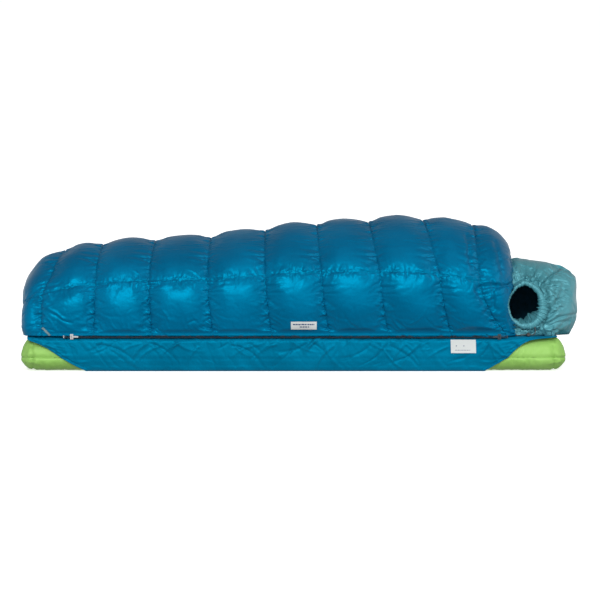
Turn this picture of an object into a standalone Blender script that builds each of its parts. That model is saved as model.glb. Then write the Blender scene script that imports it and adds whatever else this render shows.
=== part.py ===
"""A hooded quilted down sleeping bag whose lower half is a fabric sleeve round an inflatable pad.

Metres, +Z up, +X towards the hood and -Y towards the zip. The origin is on the ground, under the
middle of the whole object. The quilted top is an arch that stands on the sleeve. Its middle part
lifts about its far lower edge, the way an unzipped top is raised, and the footbox, the shoulders
and the hood stay with the sleeve.
"""

import math

import bmesh
import bpy
from mathutils import Matrix, Vector

# Pad and sleeve
PAD_LENGTH, PAD_WIDTH, PAD_CORNER = 1.8285, 0.506, 0.05
PAD_FOOT_X = -0.9385
PAD_BOTTOM, PAD_TOP = 0.0018, 0.1157
PAD_EDGE_ROUND, PAD_EDGE_POWER = 0.045, 2.4
PAD_SKIN = 0.0012
PAD_WALL_Y = (-0.15, -0.05, 0.05, 0.15)
PAD_WALL_LENGTH, PAD_WALL_THICK = 1.62, 0.0012
PAD_EDGE_STEPS, PAD_EDGE_SPREAD, PAD_LEAST_CORNER = 5, 1.8, 0.004
SLEEVE_HALF, SLEEVE_TOP, SLEEVE_CORNER, SLEEVE_WALL = 0.2585, 0.1175, 0.022, 0.0012
SLEEVE_CORNER_STEPS = 4
SLEEVE_FOOT_TOP_X, SLEEVE_FOOT_BOTTOM_X = -0.912, -0.712
SLEEVE_HEAD_BOTTOM_X, SLEEVE_HEAD_SIDE_X, SLEEVE_HEAD_TOP_X = 0.610, 0.785, 0.860
TOP_PANEL_CORNER_Y, TOP_PANEL_FAR_X = 0.05, 0.745
TOP_PANEL_RISE = (0.008, 0.006)
HEM_LENGTH = 0.006
GAP = 0.0003

# Quilted arch: heights and half widths along X, as (x, value) with a smooth curve between them
BASE_Z = 0.1186
WIDEST_SHARE = 0.30
ARCH_POWER = 2.25
CREST = [(-0.925, 0.285), (-0.905, 0.325), (-0.865, 0.368), (-0.757, 0.412), (-0.6, 0.432),
         (-0.28, 0.450), (0.0, 0.490), (0.2, 0.502), (0.4, 0.512), (0.526, 0.504),
         (0.633, 0.463), (0.686, 0.428), (0.715, 0.392)]
WIDE_NEAR = [(-0.925, 0.235), (-0.86, 0.262), (-0.6, 0.272), (-0.28, 0.281), (0.0, 0.290),
             (0.3, 0.299), (0.526, 0.298), (0.633, 0.285), (0.715, 0.252)]
WIDE_FAR = [(-0.925, 0.235), (-0.86, 0.262), (-0.6, 0.272), (-0.28, 0.281), (0.0, 0.290),
            (0.3, 0.299), (0.526, 0.298), (0.633, 0.276), (0.715, 0.220)]
BASE_HALF = 0.2570
BASE_NEAR = [(-0.925, 0.225), (-0.9, 0.25), (-0.86, BASE_HALF), (0.64, BASE_HALF), (0.68, 0.252),
             (0.715, 0.232)]
BASE_FAR = [(-0.925, 0.225), (-0.9, 0.25), (-0.86, BASE_HALF), (0.595, BASE_HALF), (0.64, 0.245),
            (0.715, 0.195)]
HOOD_CREST = [(0.7155, 0.372), (0.76, 0.360), (0.82, 0.354), (0.873, 0.342), (0.905, 0.315),
              (0.9275, 0.262), (0.9385, 0.215)]
HOOD_WIDE_NEAR = [(0.7155, 0.245), (0.76, 0.238), (0.82, 0.226), (0.873, 0.203), (0.91, 0.165),
                  (0.9385, 0.115)]
HOOD_WIDE_FAR = [(0.7155, 0.212), (0.76, 0.187), (0.82, 0.170), (0.873, 0.151), (0.91, 0.126),
                 (0.9385, 0.085)]
HOOD_BASE_NEAR = [(0.7155, 0.222), (0.76, 0.208), (0.82, 0.196), (0.873, 0.173), (0.91, 0.140),
                  (0.9385, 0.095)]
HOOD_BASE_FAR = [(0.7155, 0.188), (0.76, 0.166), (0.82, 0.150), (0.873, 0.133), (0.91, 0.110),
                 (0.9385, 0.072)]
SIDE_STEPS, CROWN_STEPS = 2, 12
LEAST_STEP = 0.00001

# Layers, as depths below the outer surface
SHELL = (0.0, 0.0010)
FILL = (0.0014, 0.0340)
LINING = (0.0344, 0.0354)

# Seams across the top: the lifting part runs from the first to the last
SEAMS = [-0.678, -0.496, -0.307, -0.122, 0.055, 0.232, 0.418, 0.588]
SEAM_GAP = 0.0004
FOOT_X, NECK_X, HOOD_X, HOOD_END_X = -0.925, 0.715, 0.7155, 0.9385
FOOT_STATIONS = [FOOT_X, -0.915, -0.895, -0.86, -0.80, -0.74, SEAMS[0] - SEAM_GAP]
HOOD_STATIONS = [HOOD_X, 0.76, 0.80, 0.84, 0.873, 0.905, 0.925, HOOD_END_X]
FLOOR_STATIONS, FLOOR_INSET = [HOOD_X, 0.76, 0.82, 0.873, 0.91, 0.9365], 0.0012
NECK_STEPS = 4
TOP_HINGE = (0.0, BASE_HALF, 0.1180)

# Face opening and its drawcord rim
FACE_CENTRE = (0.752, -0.222, 0.222)
RIM_HALF_X, RIM_HALF_Z, RIM_RADIUS = 0.059, 0.0715, 0.0105
RIM_CLEARANCE, RIM_STEPS = 0.0008, 32

# Zip, from the tape outwards
ZIP_FOOT_X, ZIP_HEAD_X = -0.79, 0.69
TAPE_Y = (-0.2614, -0.2606)
COIL_Y = (-0.2642, -0.2617)
LOWER_TAPE_Z, LOWER_COIL_Z = (0.0935, 0.1160), (0.1130, 0.1160)
UPPER_TAPE_Z, UPPER_COIL_Z = (0.1184, 0.1228), (0.1184, 0.1214)
ZIP_MIDDLE_Z = 0.1172
BACK_PLATE_Y, FRONT_PLATE_Y = (-0.2602, -0.2592), (-0.2660, -0.2646)
PIN_Y, PIN_RADIUS, EYE_RADIUS, EYE_BORE = -0.2684, 0.0007, 0.0017, 0.0010
FOOT_SLIDER_X, HEAD_SLIDER_X = -0.765, 0.665
SLIDER_HALF, FRONT_PLATE_Z, BACK_PLATE_Z = 0.0055, (0.1085, 0.1262), (0.1135, 0.1212)
POST_HALF_X, POST_HALF_Z, PLATE_JOIN = 0.002, 0.0009, 0.0004
EAR_HALF_X, EAR_REACH, EAR_HALF_SPAN, EAR_THICK = 0.0016, 0.0013, 0.0046, 0.0012
PULL_LENGTH, PULL_HEIGHT, PULL_THICK = 0.022, 0.0056, 0.0012
STOP_LENGTH = 0.003
DRAFT_TUBE_RADIUS, DRAFT_TUBE_SHORTER, DRAFT_TUBE_RISE = 0.011, 0.02, 0.013

# Labels and the foot tab, each as its X range and its height range
SIDE_LABEL = ((-0.033, 0.055), (0.142, 0.169))
CARE_LABEL, CARE_LABEL_Y = ((0.502, 0.586), (0.0625, 0.1075)), (-0.2624, -0.2618)
FOOT_TAB = ((-0.865, -0.838), (0.1215, 0.147))
LABEL_DEPTHS, TAB_DEPTHS = (-0.0009, -0.0003), (-0.0022, -0.0004)

# Drawcord, and the lock that grips it
CORD_RADIUS = 0.0015
CORD_ROUTE = [(0.7855, -0.2262, 0.1495), (0.7872, -0.2285, 0.1435), (0.7880, -0.2312, 0.1370),
              (0.7872, -0.2333, 0.1305), (0.7842, -0.2343, 0.1256), (0.7790, -0.2345, 0.1230),
              (0.7730, -0.2345, 0.1225), (0.7650, -0.2345, 0.1225), (0.7560, -0.2345, 0.1225),
              (0.7470, -0.2345, 0.1225), (0.7400, -0.2345, 0.1222), (0.7335, -0.2345, 0.1208),
              (0.7275, -0.2345, 0.1196)]
KNOT_RADIUS, KNOT_OUT = 0.0030, 0.0004
LOCK_X, LOCK_Y, LOCK_Z = 0.764, (-0.2445, -0.2225), 0.1235
LOCK_RADIUS, LOCK_BORE, LOCK_FLOOR = 0.0058, 0.0046, 0.0014
CORD_IN_LOCK_Y, CORD_IN_LOCK_Z, CORD_CLEARANCE = -0.2345, 0.1225, 0.0006
PLUNGER_RADIUS, PLUNGER_OUT, PLUNGER_TRAVEL, PLUNGER_BEHIND = 0.0042, 0.0042, 0.003, 0.0035
SPRING_RADIUS, SPRING_WIRE, SPRING_TURNS, SPRING_STEPS = 0.0034, 0.0003, 4, 10

# Valve on the pad's far head corner
VALVE_X, VALVE_Y = 0.815, 0.188
VALVE_BORE, VALVE_NECK, VALVE_FLANGE = 0.0085, 0.0115, 0.0165
NECK_HEIGHT, FLANGE_HEIGHTS, FLAP_HEIGHTS = 0.0072, (0.0012, 0.0015), (0.0004, 0.0012)
CAP_HINGE_X, CAP_THICK = VALVE_X + 0.0150, 0.0025
TONGUE_START, TONGUE_HALF, TONGUE_THICK = 0.009, 0.0035, 0.0012

COLOURS = {
    "blue shell": (0.004, 0.142, 0.285, 0.38, 0.0),
    "teal shell": (0.09, 0.344, 0.407, 0.40, 0.0),
    "lining": (0.03, 0.10, 0.16, 0.5, 0.0),
    "down": (0.8, 0.79, 0.76, 0.95, 0.0),
    "green pad": (0.33, 0.61, 0.155, 0.45, 0.0),
    "sleeve": (0.004, 0.16, 0.30, 0.45, 0.0),
    "zip": (0.01, 0.04, 0.07, 0.6, 0.0),
    "metal": (0.55, 0.55, 0.56, 0.3, 1.0),
    "black plastic": (0.015, 0.015, 0.017, 0.45, 0.0),
    "label": (0.69, 0.72, 0.72, 0.7, 0.0),
    "cord": (0.02, 0.02, 0.022, 0.8, 0.0),
}


def clear_scene():
    for obj in list(bpy.data.objects):
        bpy.data.objects.remove(obj, do_unlink=True)


def new_collection(name):
    collection = bpy.data.collections.new(name)
    bpy.context.scene.collection.children.link(collection)
    return collection


def material(name):
    """The Principled BSDF material of a colour name, made once."""
    if name in bpy.data.materials:
        return bpy.data.materials[name]
    red, green, blue, rough, metallic = COLOURS[name]
    made = bpy.data.materials.new(name)
    made.use_nodes = True
    shader = made.node_tree.nodes["Principled BSDF"]
    shader.inputs["Base Color"].default_value = (red, green, blue, 1.0)
    shader.inputs["Roughness"].default_value = rough
    shader.inputs["Metallic"].default_value = metallic
    return made


def add_mesh(name, bm, colour, smooth=True):
    """A new object from a bmesh, facing out and shaded smooth between flat faces."""
    bmesh.ops.recalc_face_normals(bm, faces=bm.faces)
    mesh = bpy.data.meshes.new(name)
    bm.to_mesh(mesh)
    bm.free()
    obj = bpy.data.objects.new(name, mesh)
    PARTS.objects.link(obj)
    obj.data.materials.append(material(colour))
    if smooth:
        mesh.shade_smooth()
        mesh.set_sharp_from_angle(angle=math.radians(35))
    return obj


def between(points, x):
    """The value at x of a smooth curve through (x, value) points, held level past its ends."""
    if x <= points[0][0]:
        return points[0][1]
    if x >= points[-1][0]:
        return points[-1][1]
    i = max(k for k in range(len(points) - 1) if points[k][0] <= x)

    def secant(k):
        return (points[k + 1][1] - points[k][1]) / (points[k + 1][0] - points[k][0])

    def slope(k):
        """The slope at a point, level at a turn, so that the curve never overshoots."""
        if k in (0, len(points) - 1):
            return secant(min(k, len(points) - 2))
        before, after = secant(k - 1), secant(k)
        return 2 * before * after / (before + after) if before * after > 0 else 0.0

    (x0, v0), (x1, v1) = points[i], points[i + 1]
    span = x1 - x0
    s = (x - x0) / span
    rise = (v1 - v0) * s * s * (3 - 2 * s)
    return v0 + rise + span * s * (1 - s) * ((1 - s) * slope(i) - s * slope(i + 1))


def bag_shape(x):
    """Crest height, near and far widest half widths, and near and far half widths at the base."""
    return tuple(between(t, x) for t in (CREST, WIDE_NEAR, WIDE_FAR, BASE_NEAR, BASE_FAR))


def hood_shape(x):
    tables = (HOOD_CREST, HOOD_WIDE_NEAR, HOOD_WIDE_FAR, HOOD_BASE_NEAR, HOOD_BASE_FAR)
    return tuple(between(t, x) for t in tables)


def side_y(shape, z, far=False):
    """Y of the arch's outer surface low on one side, at a height below its widest point."""
    crest, near_wide, far_wide, near_base, far_base = shape
    wide, base, way = (far_wide, far_base, 1) if far else (near_wide, near_base, -1)
    widest_z = BASE_Z + WIDEST_SHARE * (crest - BASE_Z)
    down = (widest_z - z) / (widest_z - BASE_Z)
    return way * (wide - (wide - base) * down * down)


def arch_ring(shape, x, depth):
    """Points of one arch section from the near base over the crest to the far base, set in by depth."""
    crest, near_wide, far_wide = shape[:3]
    widest_z = BASE_Z + WIDEST_SHARE * (crest - BASE_Z)
    outline = []
    for i in range(SIDE_STEPS):
        z = BASE_Z + (widest_z - BASE_Z) * i / SIDE_STEPS
        outline.append((side_y(shape, z), z))
    for i in range(CROWN_STEPS + 1):
        turn = math.pi * i / CROWN_STEPS
        cosine, sine = math.cos(turn), max(math.sin(turn), 0.0)
        wide = near_wide if cosine > 0 else far_wide
        y = -math.copysign(wide * abs(cosine) ** (2 / ARCH_POWER), cosine)
        outline.append((y, widest_z + (crest - widest_z) * sine ** (2 / ARCH_POWER)))
    for i in range(SIDE_STEPS - 1, -1, -1):
        z = BASE_Z + (widest_z - BASE_Z) * i / SIDE_STEPS
        outline.append((side_y(shape, z, far=True), z))
    ring = []
    last = len(outline) - 1
    for i, (y, z) in enumerate(outline):
        (y0, z0), (y1, z1) = outline[max(i - 1, 0)], outline[min(i + 1, last)]
        length = math.hypot(y1 - y0, z1 - z0)
        inward_y, inward_z = (z1 - z0) / length, -(y1 - y0) / length
        if i in (0, last):
            inward_y, inward_z = math.copysign(1.0, inward_y), 0.0
        ring.append(Vector((x, y + depth * inward_y, z + depth * inward_z)))
    return ring


def arch(name, colour, shape_of, stations, depths, closed_end=0):
    """A layer of the quilt between two depths, as one closed solid, open below.

    closed_end is -1 for a wall across the low X end, 1 for one across the high X end.
    """
    bm = bmesh.new()
    layers = []
    for depth in depths:
        rows = list(stations)
        if closed_end < 0:
            rows = [max(x, stations[0] + depth) for x in stations]
        elif closed_end > 0:
            rows = [min(x, stations[-1] - depth) for x in stations]
        rings = []
        for i, (x, station) in enumerate(zip(rows, stations)):
            if closed_end < 0 and i + 1 < len(rows) and rows[i + 1] - x < LEAST_STEP:
                continue
            if closed_end > 0 and i > 0 and x - rows[i - 1] < LEAST_STEP:
                continue
            rings.append([bm.verts.new(p) for p in arch_ring(shape_of(station), x, depth)])
        layers.append(rings)
    for layer in layers:
        for ring, following in zip(layer, layer[1:]):
            for i in range(len(ring) - 1):
                bm.faces.new((ring[i], ring[i + 1], following[i + 1]))
                bm.faces.new((ring[i], following[i + 1], following[i]))
    outer, inner = layers
    for end in (0, -1):
        if closed_end == (-1 if end == 0 else 1):
            bm.faces.new(outer[end])
            bm.faces.new(inner[end])
            bm.faces.new((outer[end][0], outer[end][-1], inner[end][-1], inner[end][0]))
        else:
            for i in range(len(outer[end]) - 1):
                bm.faces.new((outer[end][i], outer[end][i + 1], inner[end][i + 1], inner[end][i]))
    for side in (0, -1):
        hem = [ring[side] for ring in outer] + [ring[side] for ring in reversed(inner)]
        bm.faces.new(hem)
    bmesh.ops.triangulate(bm, faces=[f for f in bm.faces if len(f.verts) > 4])
    return add_mesh(name, bm, colour)


def spaced(low, high, count):
    return [low + (high - low) * i / count for i in range(count + 1)]


def patch(name, colour, shape_of, x_range, z_range, depths):
    """A thin label or tab that lies on the near side of the arch."""
    bm = bmesh.new()
    grids = []
    for depth in depths:
        grids.append([[bm.verts.new((x, side_y(shape_of(x), z) + depth, z))
                       for z in spaced(*z_range, 2)] for x in spaced(*x_range, 3)])
    rows, columns = len(grids[0]), len(grids[0][0])
    for grid in grids:
        for i in range(rows - 1):
            for j in range(columns - 1):
                bm.faces.new((grid[i][j], grid[i + 1][j], grid[i + 1][j + 1], grid[i][j + 1]))
    front, back = grids
    edge = [(i, 0) for i in range(rows)] + [(rows - 1, j) for j in range(1, columns)]
    edge += [(i, columns - 1) for i in range(rows - 2, -1, -1)]
    edge += [(0, j) for j in range(columns - 2, 0, -1)]
    for (i, j), (k, m) in zip(edge, edge[1:] + edge[:1]):
        bm.faces.new((front[i][j], front[k][m], back[k][m], back[i][j]))
    return add_mesh(name, bm, colour)


def box(name, colour, x_range, y_range, z_range):
    bm = bmesh.new()
    bmesh.ops.create_cube(bm, size=1.0)
    low = Vector((x_range[0], y_range[0], z_range[0]))
    high = Vector((x_range[1], y_range[1], z_range[1]))
    size = high - low
    bmesh.ops.scale(bm, vec=size, verts=bm.verts)
    bmesh.ops.translate(bm, vec=(low + high) / 2, verts=bm.verts)
    return add_mesh(name, bm, colour, smooth=False)


def cylinder(name, colour, radius, start, end, segments=20):
    """A closed cylinder from start to end."""
    start, end = Vector(start), Vector(end)
    way = end - start
    bm = bmesh.new()
    bmesh.ops.create_cone(bm, cap_ends=True, segments=segments, radius1=radius,
                          radius2=radius, depth=way.length)
    turn = way.to_track_quat("Z", "Y").to_matrix().to_4x4()
    bmesh.ops.transform(bm, matrix=Matrix.Translation((start + end) / 2) @ turn, verts=bm.verts)
    return add_mesh(name, bm, colour)


def turned(name, colour, profile, centre, steps=28):
    """A closed (radius, z) profile that clears its axis, turned about Z at centre."""
    bm = bmesh.new()
    verts = [bm.verts.new((r, 0.0, z)) for r, z in profile]
    for a, b in zip(verts, verts[1:] + verts[:1]):
        bm.edges.new((a, b))
    mesh = bpy.data.meshes.new(name)
    bm.to_mesh(mesh)
    bm.free()
    obj = bpy.data.objects.new(name, mesh)
    PARTS.objects.link(obj)
    obj.location = centre
    obj.data.materials.append(material(colour))
    screw = obj.modifiers.new("turn", "SCREW")
    screw.steps = screw.render_steps = steps
    screw.use_merge_vertices = True
    screw.merge_threshold = 0.00001
    return obj


def cut(obj, cutter, operation="DIFFERENCE"):
    """Cuts obj with a helper, or joins the helper to it."""
    if cutter.name in PARTS.objects:
        PARTS.objects.unlink(cutter)
        CUTTERS.objects.link(cutter)
    cutter.hide_render = True
    cutter.display_type = "WIRE"
    modifier = obj.modifiers.new(cutter.name, "BOOLEAN")
    modifier.object = cutter
    modifier.operation = operation


def tube(name, colour, points, radius, cyclic=False, resolution=2):
    """A round cord or rim along points, as a curve object."""
    data = bpy.data.curves.new(name, "CURVE")
    data.dimensions = "3D"
    data.bevel_depth = radius
    data.bevel_resolution = resolution
    data.use_fill_caps = not cyclic
    spline = data.splines.new("POLY")
    spline.points.add(len(points) - 1)
    for point, place in zip(spline.points, points):
        point.co = (*place, 1.0)
    spline.use_cyclic_u = cyclic
    obj = bpy.data.objects.new(name, data)
    PARTS.objects.link(obj)
    obj.data.materials.append(material(colour))
    return obj


def smooth_route(points, per_span):
    """Points of a smooth curve that passes through the route's own points."""
    ends = [points[0], *points, points[-1]]
    found = []
    for p0, p1, p2, p3 in zip(ends, ends[1:], ends[2:], ends[3:]):
        p0, p1, p2, p3 = Vector(p0), Vector(p1), Vector(p2), Vector(p3)
        for step in range(per_span):
            s = step / per_span
            found.append(0.5 * (2 * p1 + (p2 - p0) * s + (2 * p0 - 5 * p1 + 4 * p2 - p3) * s * s
                                + (3 * p1 - p0 - 3 * p2 + p3) * s ** 3))
    return found + [Vector(points[-1])]


def group_on(name, place, pieces):
    """An empty on a joint's axis that carries the pieces moved by that joint."""
    empty = bpy.data.objects.new(name, None)
    empty.location = place
    empty.empty_display_size = 0.02
    PARTS.objects.link(empty)
    for piece in pieces:
        piece.parent = empty
        piece.matrix_parent_inverse = Matrix.Translation(place).inverted()
    return empty


def sleeve_outline(depth):
    """(y, z) points round the sleeve's section, set in by depth."""
    half, low, high = SLEEVE_HALF - depth, depth, SLEEVE_TOP - depth
    radius = SLEEVE_CORNER - depth
    corners = [(1, 1, 0), (-1, 1, 90), (-1, -1, 180), (1, -1, 270)]
    points = []
    for side_y_way, side_z_way, start in corners:
        centre_y = side_y_way * (half - radius)
        centre_z = high - radius if side_z_way > 0 else low + radius
        for i in range(SLEEVE_CORNER_STEPS + 1):
            turn = math.radians(start + 90 * i / SLEEVE_CORNER_STEPS)
            points.append((centre_y + radius * math.cos(turn), centre_z + radius * math.sin(turn)))
        if (side_y_way, side_z_way) == (1, 1):
            points += [(TOP_PANEL_CORNER_Y, high), (0.0, high)]
    return points


def sleeve_foot_x(y, z):
    return SLEEVE_FOOT_BOTTOM_X + (SLEEVE_FOOT_TOP_X - SLEEVE_FOOT_BOTTOM_X) * z / SLEEVE_TOP


def sleeve_head_x(y, z):
    """The head end is cut back down both sides. Its top panel is longer, except at the far corner."""
    side = SLEEVE_HEAD_BOTTOM_X + (SLEEVE_HEAD_SIDE_X - SLEEVE_HEAD_BOTTOM_X) * z / SLEEVE_TOP
    below, height = TOP_PANEL_RISE
    rise = min(max((z - (SLEEVE_TOP - below)) / height, 0.0), 1.0)
    if y > TOP_PANEL_CORNER_Y:
        return side + rise * (TOP_PANEL_FAR_X - SLEEVE_HEAD_SIDE_X)
    return side + rise * (SLEEVE_HEAD_TOP_X - SLEEVE_HEAD_SIDE_X)


def sleeve_band(name, low_x, high_x):
    """A closed fabric tube between two end lines, each a function of y and z."""
    bm = bmesh.new()
    rings = []
    for depth in (0.0, SLEEVE_WALL):
        outline = sleeve_outline(depth)
        for end in (low_x, high_x):
            rings.append([bm.verts.new((end(y, z), y, z)) for y, z in outline])
    outer_low, outer_high, inner_low, inner_high = rings
    count = len(outer_low)
    for a, b in ((outer_low, outer_high), (inner_low, inner_high),
                 (outer_low, inner_low), (outer_high, inner_high)):
        for i in range(count):
            j = (i + 1) % count
            bm.faces.new((a[i], a[j], b[j], b[i]))
    return add_mesh(name, bm, "sleeve")


def build_sleeve():
    sleeve_band("sleeve", sleeve_foot_x, sleeve_head_x)
    sleeve_band("sleeve_hem_foot", lambda y, z: sleeve_foot_x(y, z) - GAP - HEM_LENGTH,
                lambda y, z: sleeve_foot_x(y, z) - GAP)
    sleeve_band("sleeve_hem_head", lambda y, z: sleeve_head_x(y, z) + GAP,
                lambda y, z: sleeve_head_x(y, z) + GAP + HEM_LENGTH)


def rounded_outline(centre_x, half_x, half_y, radius, steps=4):
    points = []
    for way_x, way_y, start in ((1, 1, 0), (-1, 1, 90), (-1, -1, 180), (1, -1, 270)):
        for i in range(steps + 1):
            turn = math.radians(start + 90 * i / steps)
            points.append((centre_x + way_x * (half_x - radius) + radius * math.cos(turn),
                           way_y * (half_y - radius) + radius * math.sin(turn)))
    return points


def pad_skin(name, way):
    """One of the pad's two skins: a tray whose rim is the weld line at mid height."""
    middle_z = (PAD_BOTTOM + PAD_TOP) / 2
    centre_x = PAD_FOOT_X + PAD_LENGTH / 2
    bm = bmesh.new()
    layers = []
    for depth in (0.0, PAD_SKIN):
        height = (PAD_TOP - PAD_BOTTOM) / 2 - depth
        rings = []
        for step in range(PAD_EDGE_STEPS + 1):
            inset = PAD_EDGE_ROUND * (step / PAD_EDGE_STEPS) ** PAD_EDGE_SPREAD
            rise = (1 - (1 - inset / PAD_EDGE_ROUND) ** PAD_EDGE_POWER) ** (1 / PAD_EDGE_POWER)
            z = middle_z + way * max(height * rise, GAP / 2)
            shrink = inset + depth
            outline = rounded_outline(centre_x, PAD_LENGTH / 2 - shrink, PAD_WIDTH / 2 - shrink,
                                      max(PAD_CORNER - shrink, PAD_LEAST_CORNER))
            rings.append([bm.verts.new((x, y, z)) for x, y in outline])
        layers.append(rings)
    for rings in layers:
        for ring, following in zip(rings, rings[1:]):
            for i in range(len(ring)):
                j = (i + 1) % len(ring)
                bm.faces.new((ring[i], ring[j], following[j], following[i]))
        bm.faces.new(rings[-1])
    outer, inner = layers[0][0], layers[1][0]
    for i in range(len(outer)):
        j = (i + 1) % len(outer)
        bm.faces.new((outer[i], outer[j], inner[j], inner[i]))
    return add_mesh(name, bm, "green pad")


def build_pad():
    top = pad_skin("pad_top_skin", 1)
    pieces = [top, pad_skin("pad_bottom_skin", -1)]
    hole = cylinder("valve_hole", "green pad", VALVE_BORE, (VALVE_X, VALVE_Y, PAD_TOP - 0.01),
                    (VALVE_X, VALVE_Y, PAD_TOP + 0.01))
    cut(top, hole)
    low, high = PAD_BOTTOM + PAD_SKIN + GAP, PAD_TOP - PAD_SKIN - GAP
    middle_x = PAD_FOOT_X + PAD_LENGTH / 2
    for number, y in enumerate(PAD_WALL_Y, 1):
        pieces.append(box(f"pad_inner_wall_{number}", "green pad",
                          (middle_x - PAD_WALL_LENGTH / 2, middle_x + PAD_WALL_LENGTH / 2),
                          (y - PAD_WALL_THICK / 2, y + PAD_WALL_THICK / 2), (low, high)))
    seat = PAD_TOP + GAP
    neck_top = seat + NECK_HEIGHT
    flange_edge, flange_root = (seat + height for height in FLANGE_HEIGHTS)
    pieces.append(turned("valve_body", "black plastic",
                         [(VALVE_BORE, neck_top), (VALVE_NECK, neck_top), (VALVE_NECK, flange_root),
                          (VALVE_FLANGE, flange_edge), (VALVE_FLANGE, seat), (VALVE_BORE, seat)],
                         (VALVE_X, VALVE_Y, 0.0)))
    flap_low, flap_high = (seat + height for height in FLAP_HEIGHTS)
    pieces.append(cylinder("valve_flap", "black plastic", VALVE_BORE - 0.0005,
                           (VALVE_X, VALVE_Y, flap_low), (VALVE_X, VALVE_Y, flap_high)))
    group_on("pad_joint", (middle_x, 0.0, (PAD_TOP + PAD_BOTTOM) / 2), pieces)
    cap_low = neck_top + GAP
    cap_high = cap_low + CAP_THICK
    cap = cylinder("valve_cap", "black plastic", VALVE_NECK + 0.0005,
                   (VALVE_X, VALVE_Y, cap_low), (VALVE_X, VALVE_Y, cap_high), 28)
    tongue = box("cap_tongue", "black plastic", (VALVE_X + TONGUE_START, CAP_HINGE_X),
                 (VALVE_Y - TONGUE_HALF, VALVE_Y + TONGUE_HALF), (cap_low, cap_low + TONGUE_THICK))
    cut(cap, tongue, "UNION")
    group_on("valve_cap_joint", (CAP_HINGE_X, VALVE_Y, cap_low), [cap])


def face_cutter():
    """The elliptical hole through the hood's near wall that the face rim fills."""
    bm = bmesh.new()
    bmesh.ops.create_cone(bm, cap_ends=True, segments=RIM_STEPS, radius1=1.0,
                          radius2=1.0, depth=0.2)
    bmesh.ops.rotate(bm, matrix=Matrix.Rotation(math.pi / 2, 3, "X"), verts=bm.verts)
    reach = RIM_RADIUS + RIM_CLEARANCE
    bmesh.ops.scale(bm, vec=(RIM_HALF_X + reach, 1.0, RIM_HALF_Z + reach), verts=bm.verts)
    x, y, z = FACE_CENTRE
    bmesh.ops.translate(bm, vec=(x, y - 0.01, z), verts=bm.verts)
    return add_mesh("face_hole", bm, "teal shell")


def build_quilt():
    """The three layers of each part of the quilted arch. Returns the pieces that lift."""
    lifting = []
    first, last = SEAMS[0] + SEAM_GAP, SEAMS[-1] - SEAM_GAP
    stations = sorted({first, last, *SEAMS[1:-1], *[(a + b) / 2 for a, b in zip(SEAMS, SEAMS[1:])]})
    lifting.append(arch("top_shell", "blue shell", bag_shape, stations, SHELL))
    lifting.append(arch("top_lining", "lining", bag_shape, stations, LINING))
    for number, (low, high) in enumerate(zip(SEAMS, SEAMS[1:]), 1):
        chamber = spaced(low + 2 * SEAM_GAP, high - 2 * SEAM_GAP, 2)
        lifting.append(arch(f"chamber_down_{number}", "down", bag_shape, chamber, FILL))

    neck = spaced(SEAMS[-1] + SEAM_GAP, NECK_X, NECK_STEPS)
    hole = face_cutter()
    parts = (("footbox", "blue shell", bag_shape, FOOT_STATIONS, -1),
             ("shoulder", "blue shell", bag_shape, neck, 0),
             ("hood", "teal shell", hood_shape, HOOD_STATIONS, 1))
    for part, colour, shape_of, rows, closed_end in parts:
        for layer, layer_colour, depths in (("shell", colour, SHELL), ("down", "down", FILL),
                                            ("lining", "lining", LINING)):
            made = arch(f"{part}_{layer}", layer_colour, shape_of, rows, depths, closed_end)
            if part != "footbox":
                cut(made, hole)
    return lifting


def build_hood_trim():
    """The hood's floor panel, and the padded rim that carries the drawcord."""
    near = [(x, -hood_shape(x)[3] + FLOOR_INSET) for x in FLOOR_STATIONS]
    far = [(x, hood_shape(x)[4] - FLOOR_INSET) for x in reversed(FLOOR_STATIONS)]
    bm = bmesh.new()
    face = bm.faces.new([bm.verts.new((x, y, SLEEVE_TOP + GAP)) for x, y in near + far])
    top = bmesh.ops.extrude_face_region(bm, geom=[face])
    raised = [v for v in top["geom"] if isinstance(v, bmesh.types.BMVert)]
    thick = BASE_Z - SLEEVE_TOP - 2 * GAP
    bmesh.ops.translate(bm, vec=(0.0, 0.0, thick), verts=raised)
    add_mesh("hood_floor", bm, "teal shell", smooth=False)

    x, y, z = FACE_CENTRE
    turns = [2 * math.pi * i / RIM_STEPS for i in range(RIM_STEPS)]
    loop = [(x + RIM_HALF_X * math.cos(t), y, z + RIM_HALF_Z * math.sin(t)) for t in turns]
    tube("face_rim", "teal shell", loop, RIM_RADIUS, cyclic=True, resolution=3)


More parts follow.
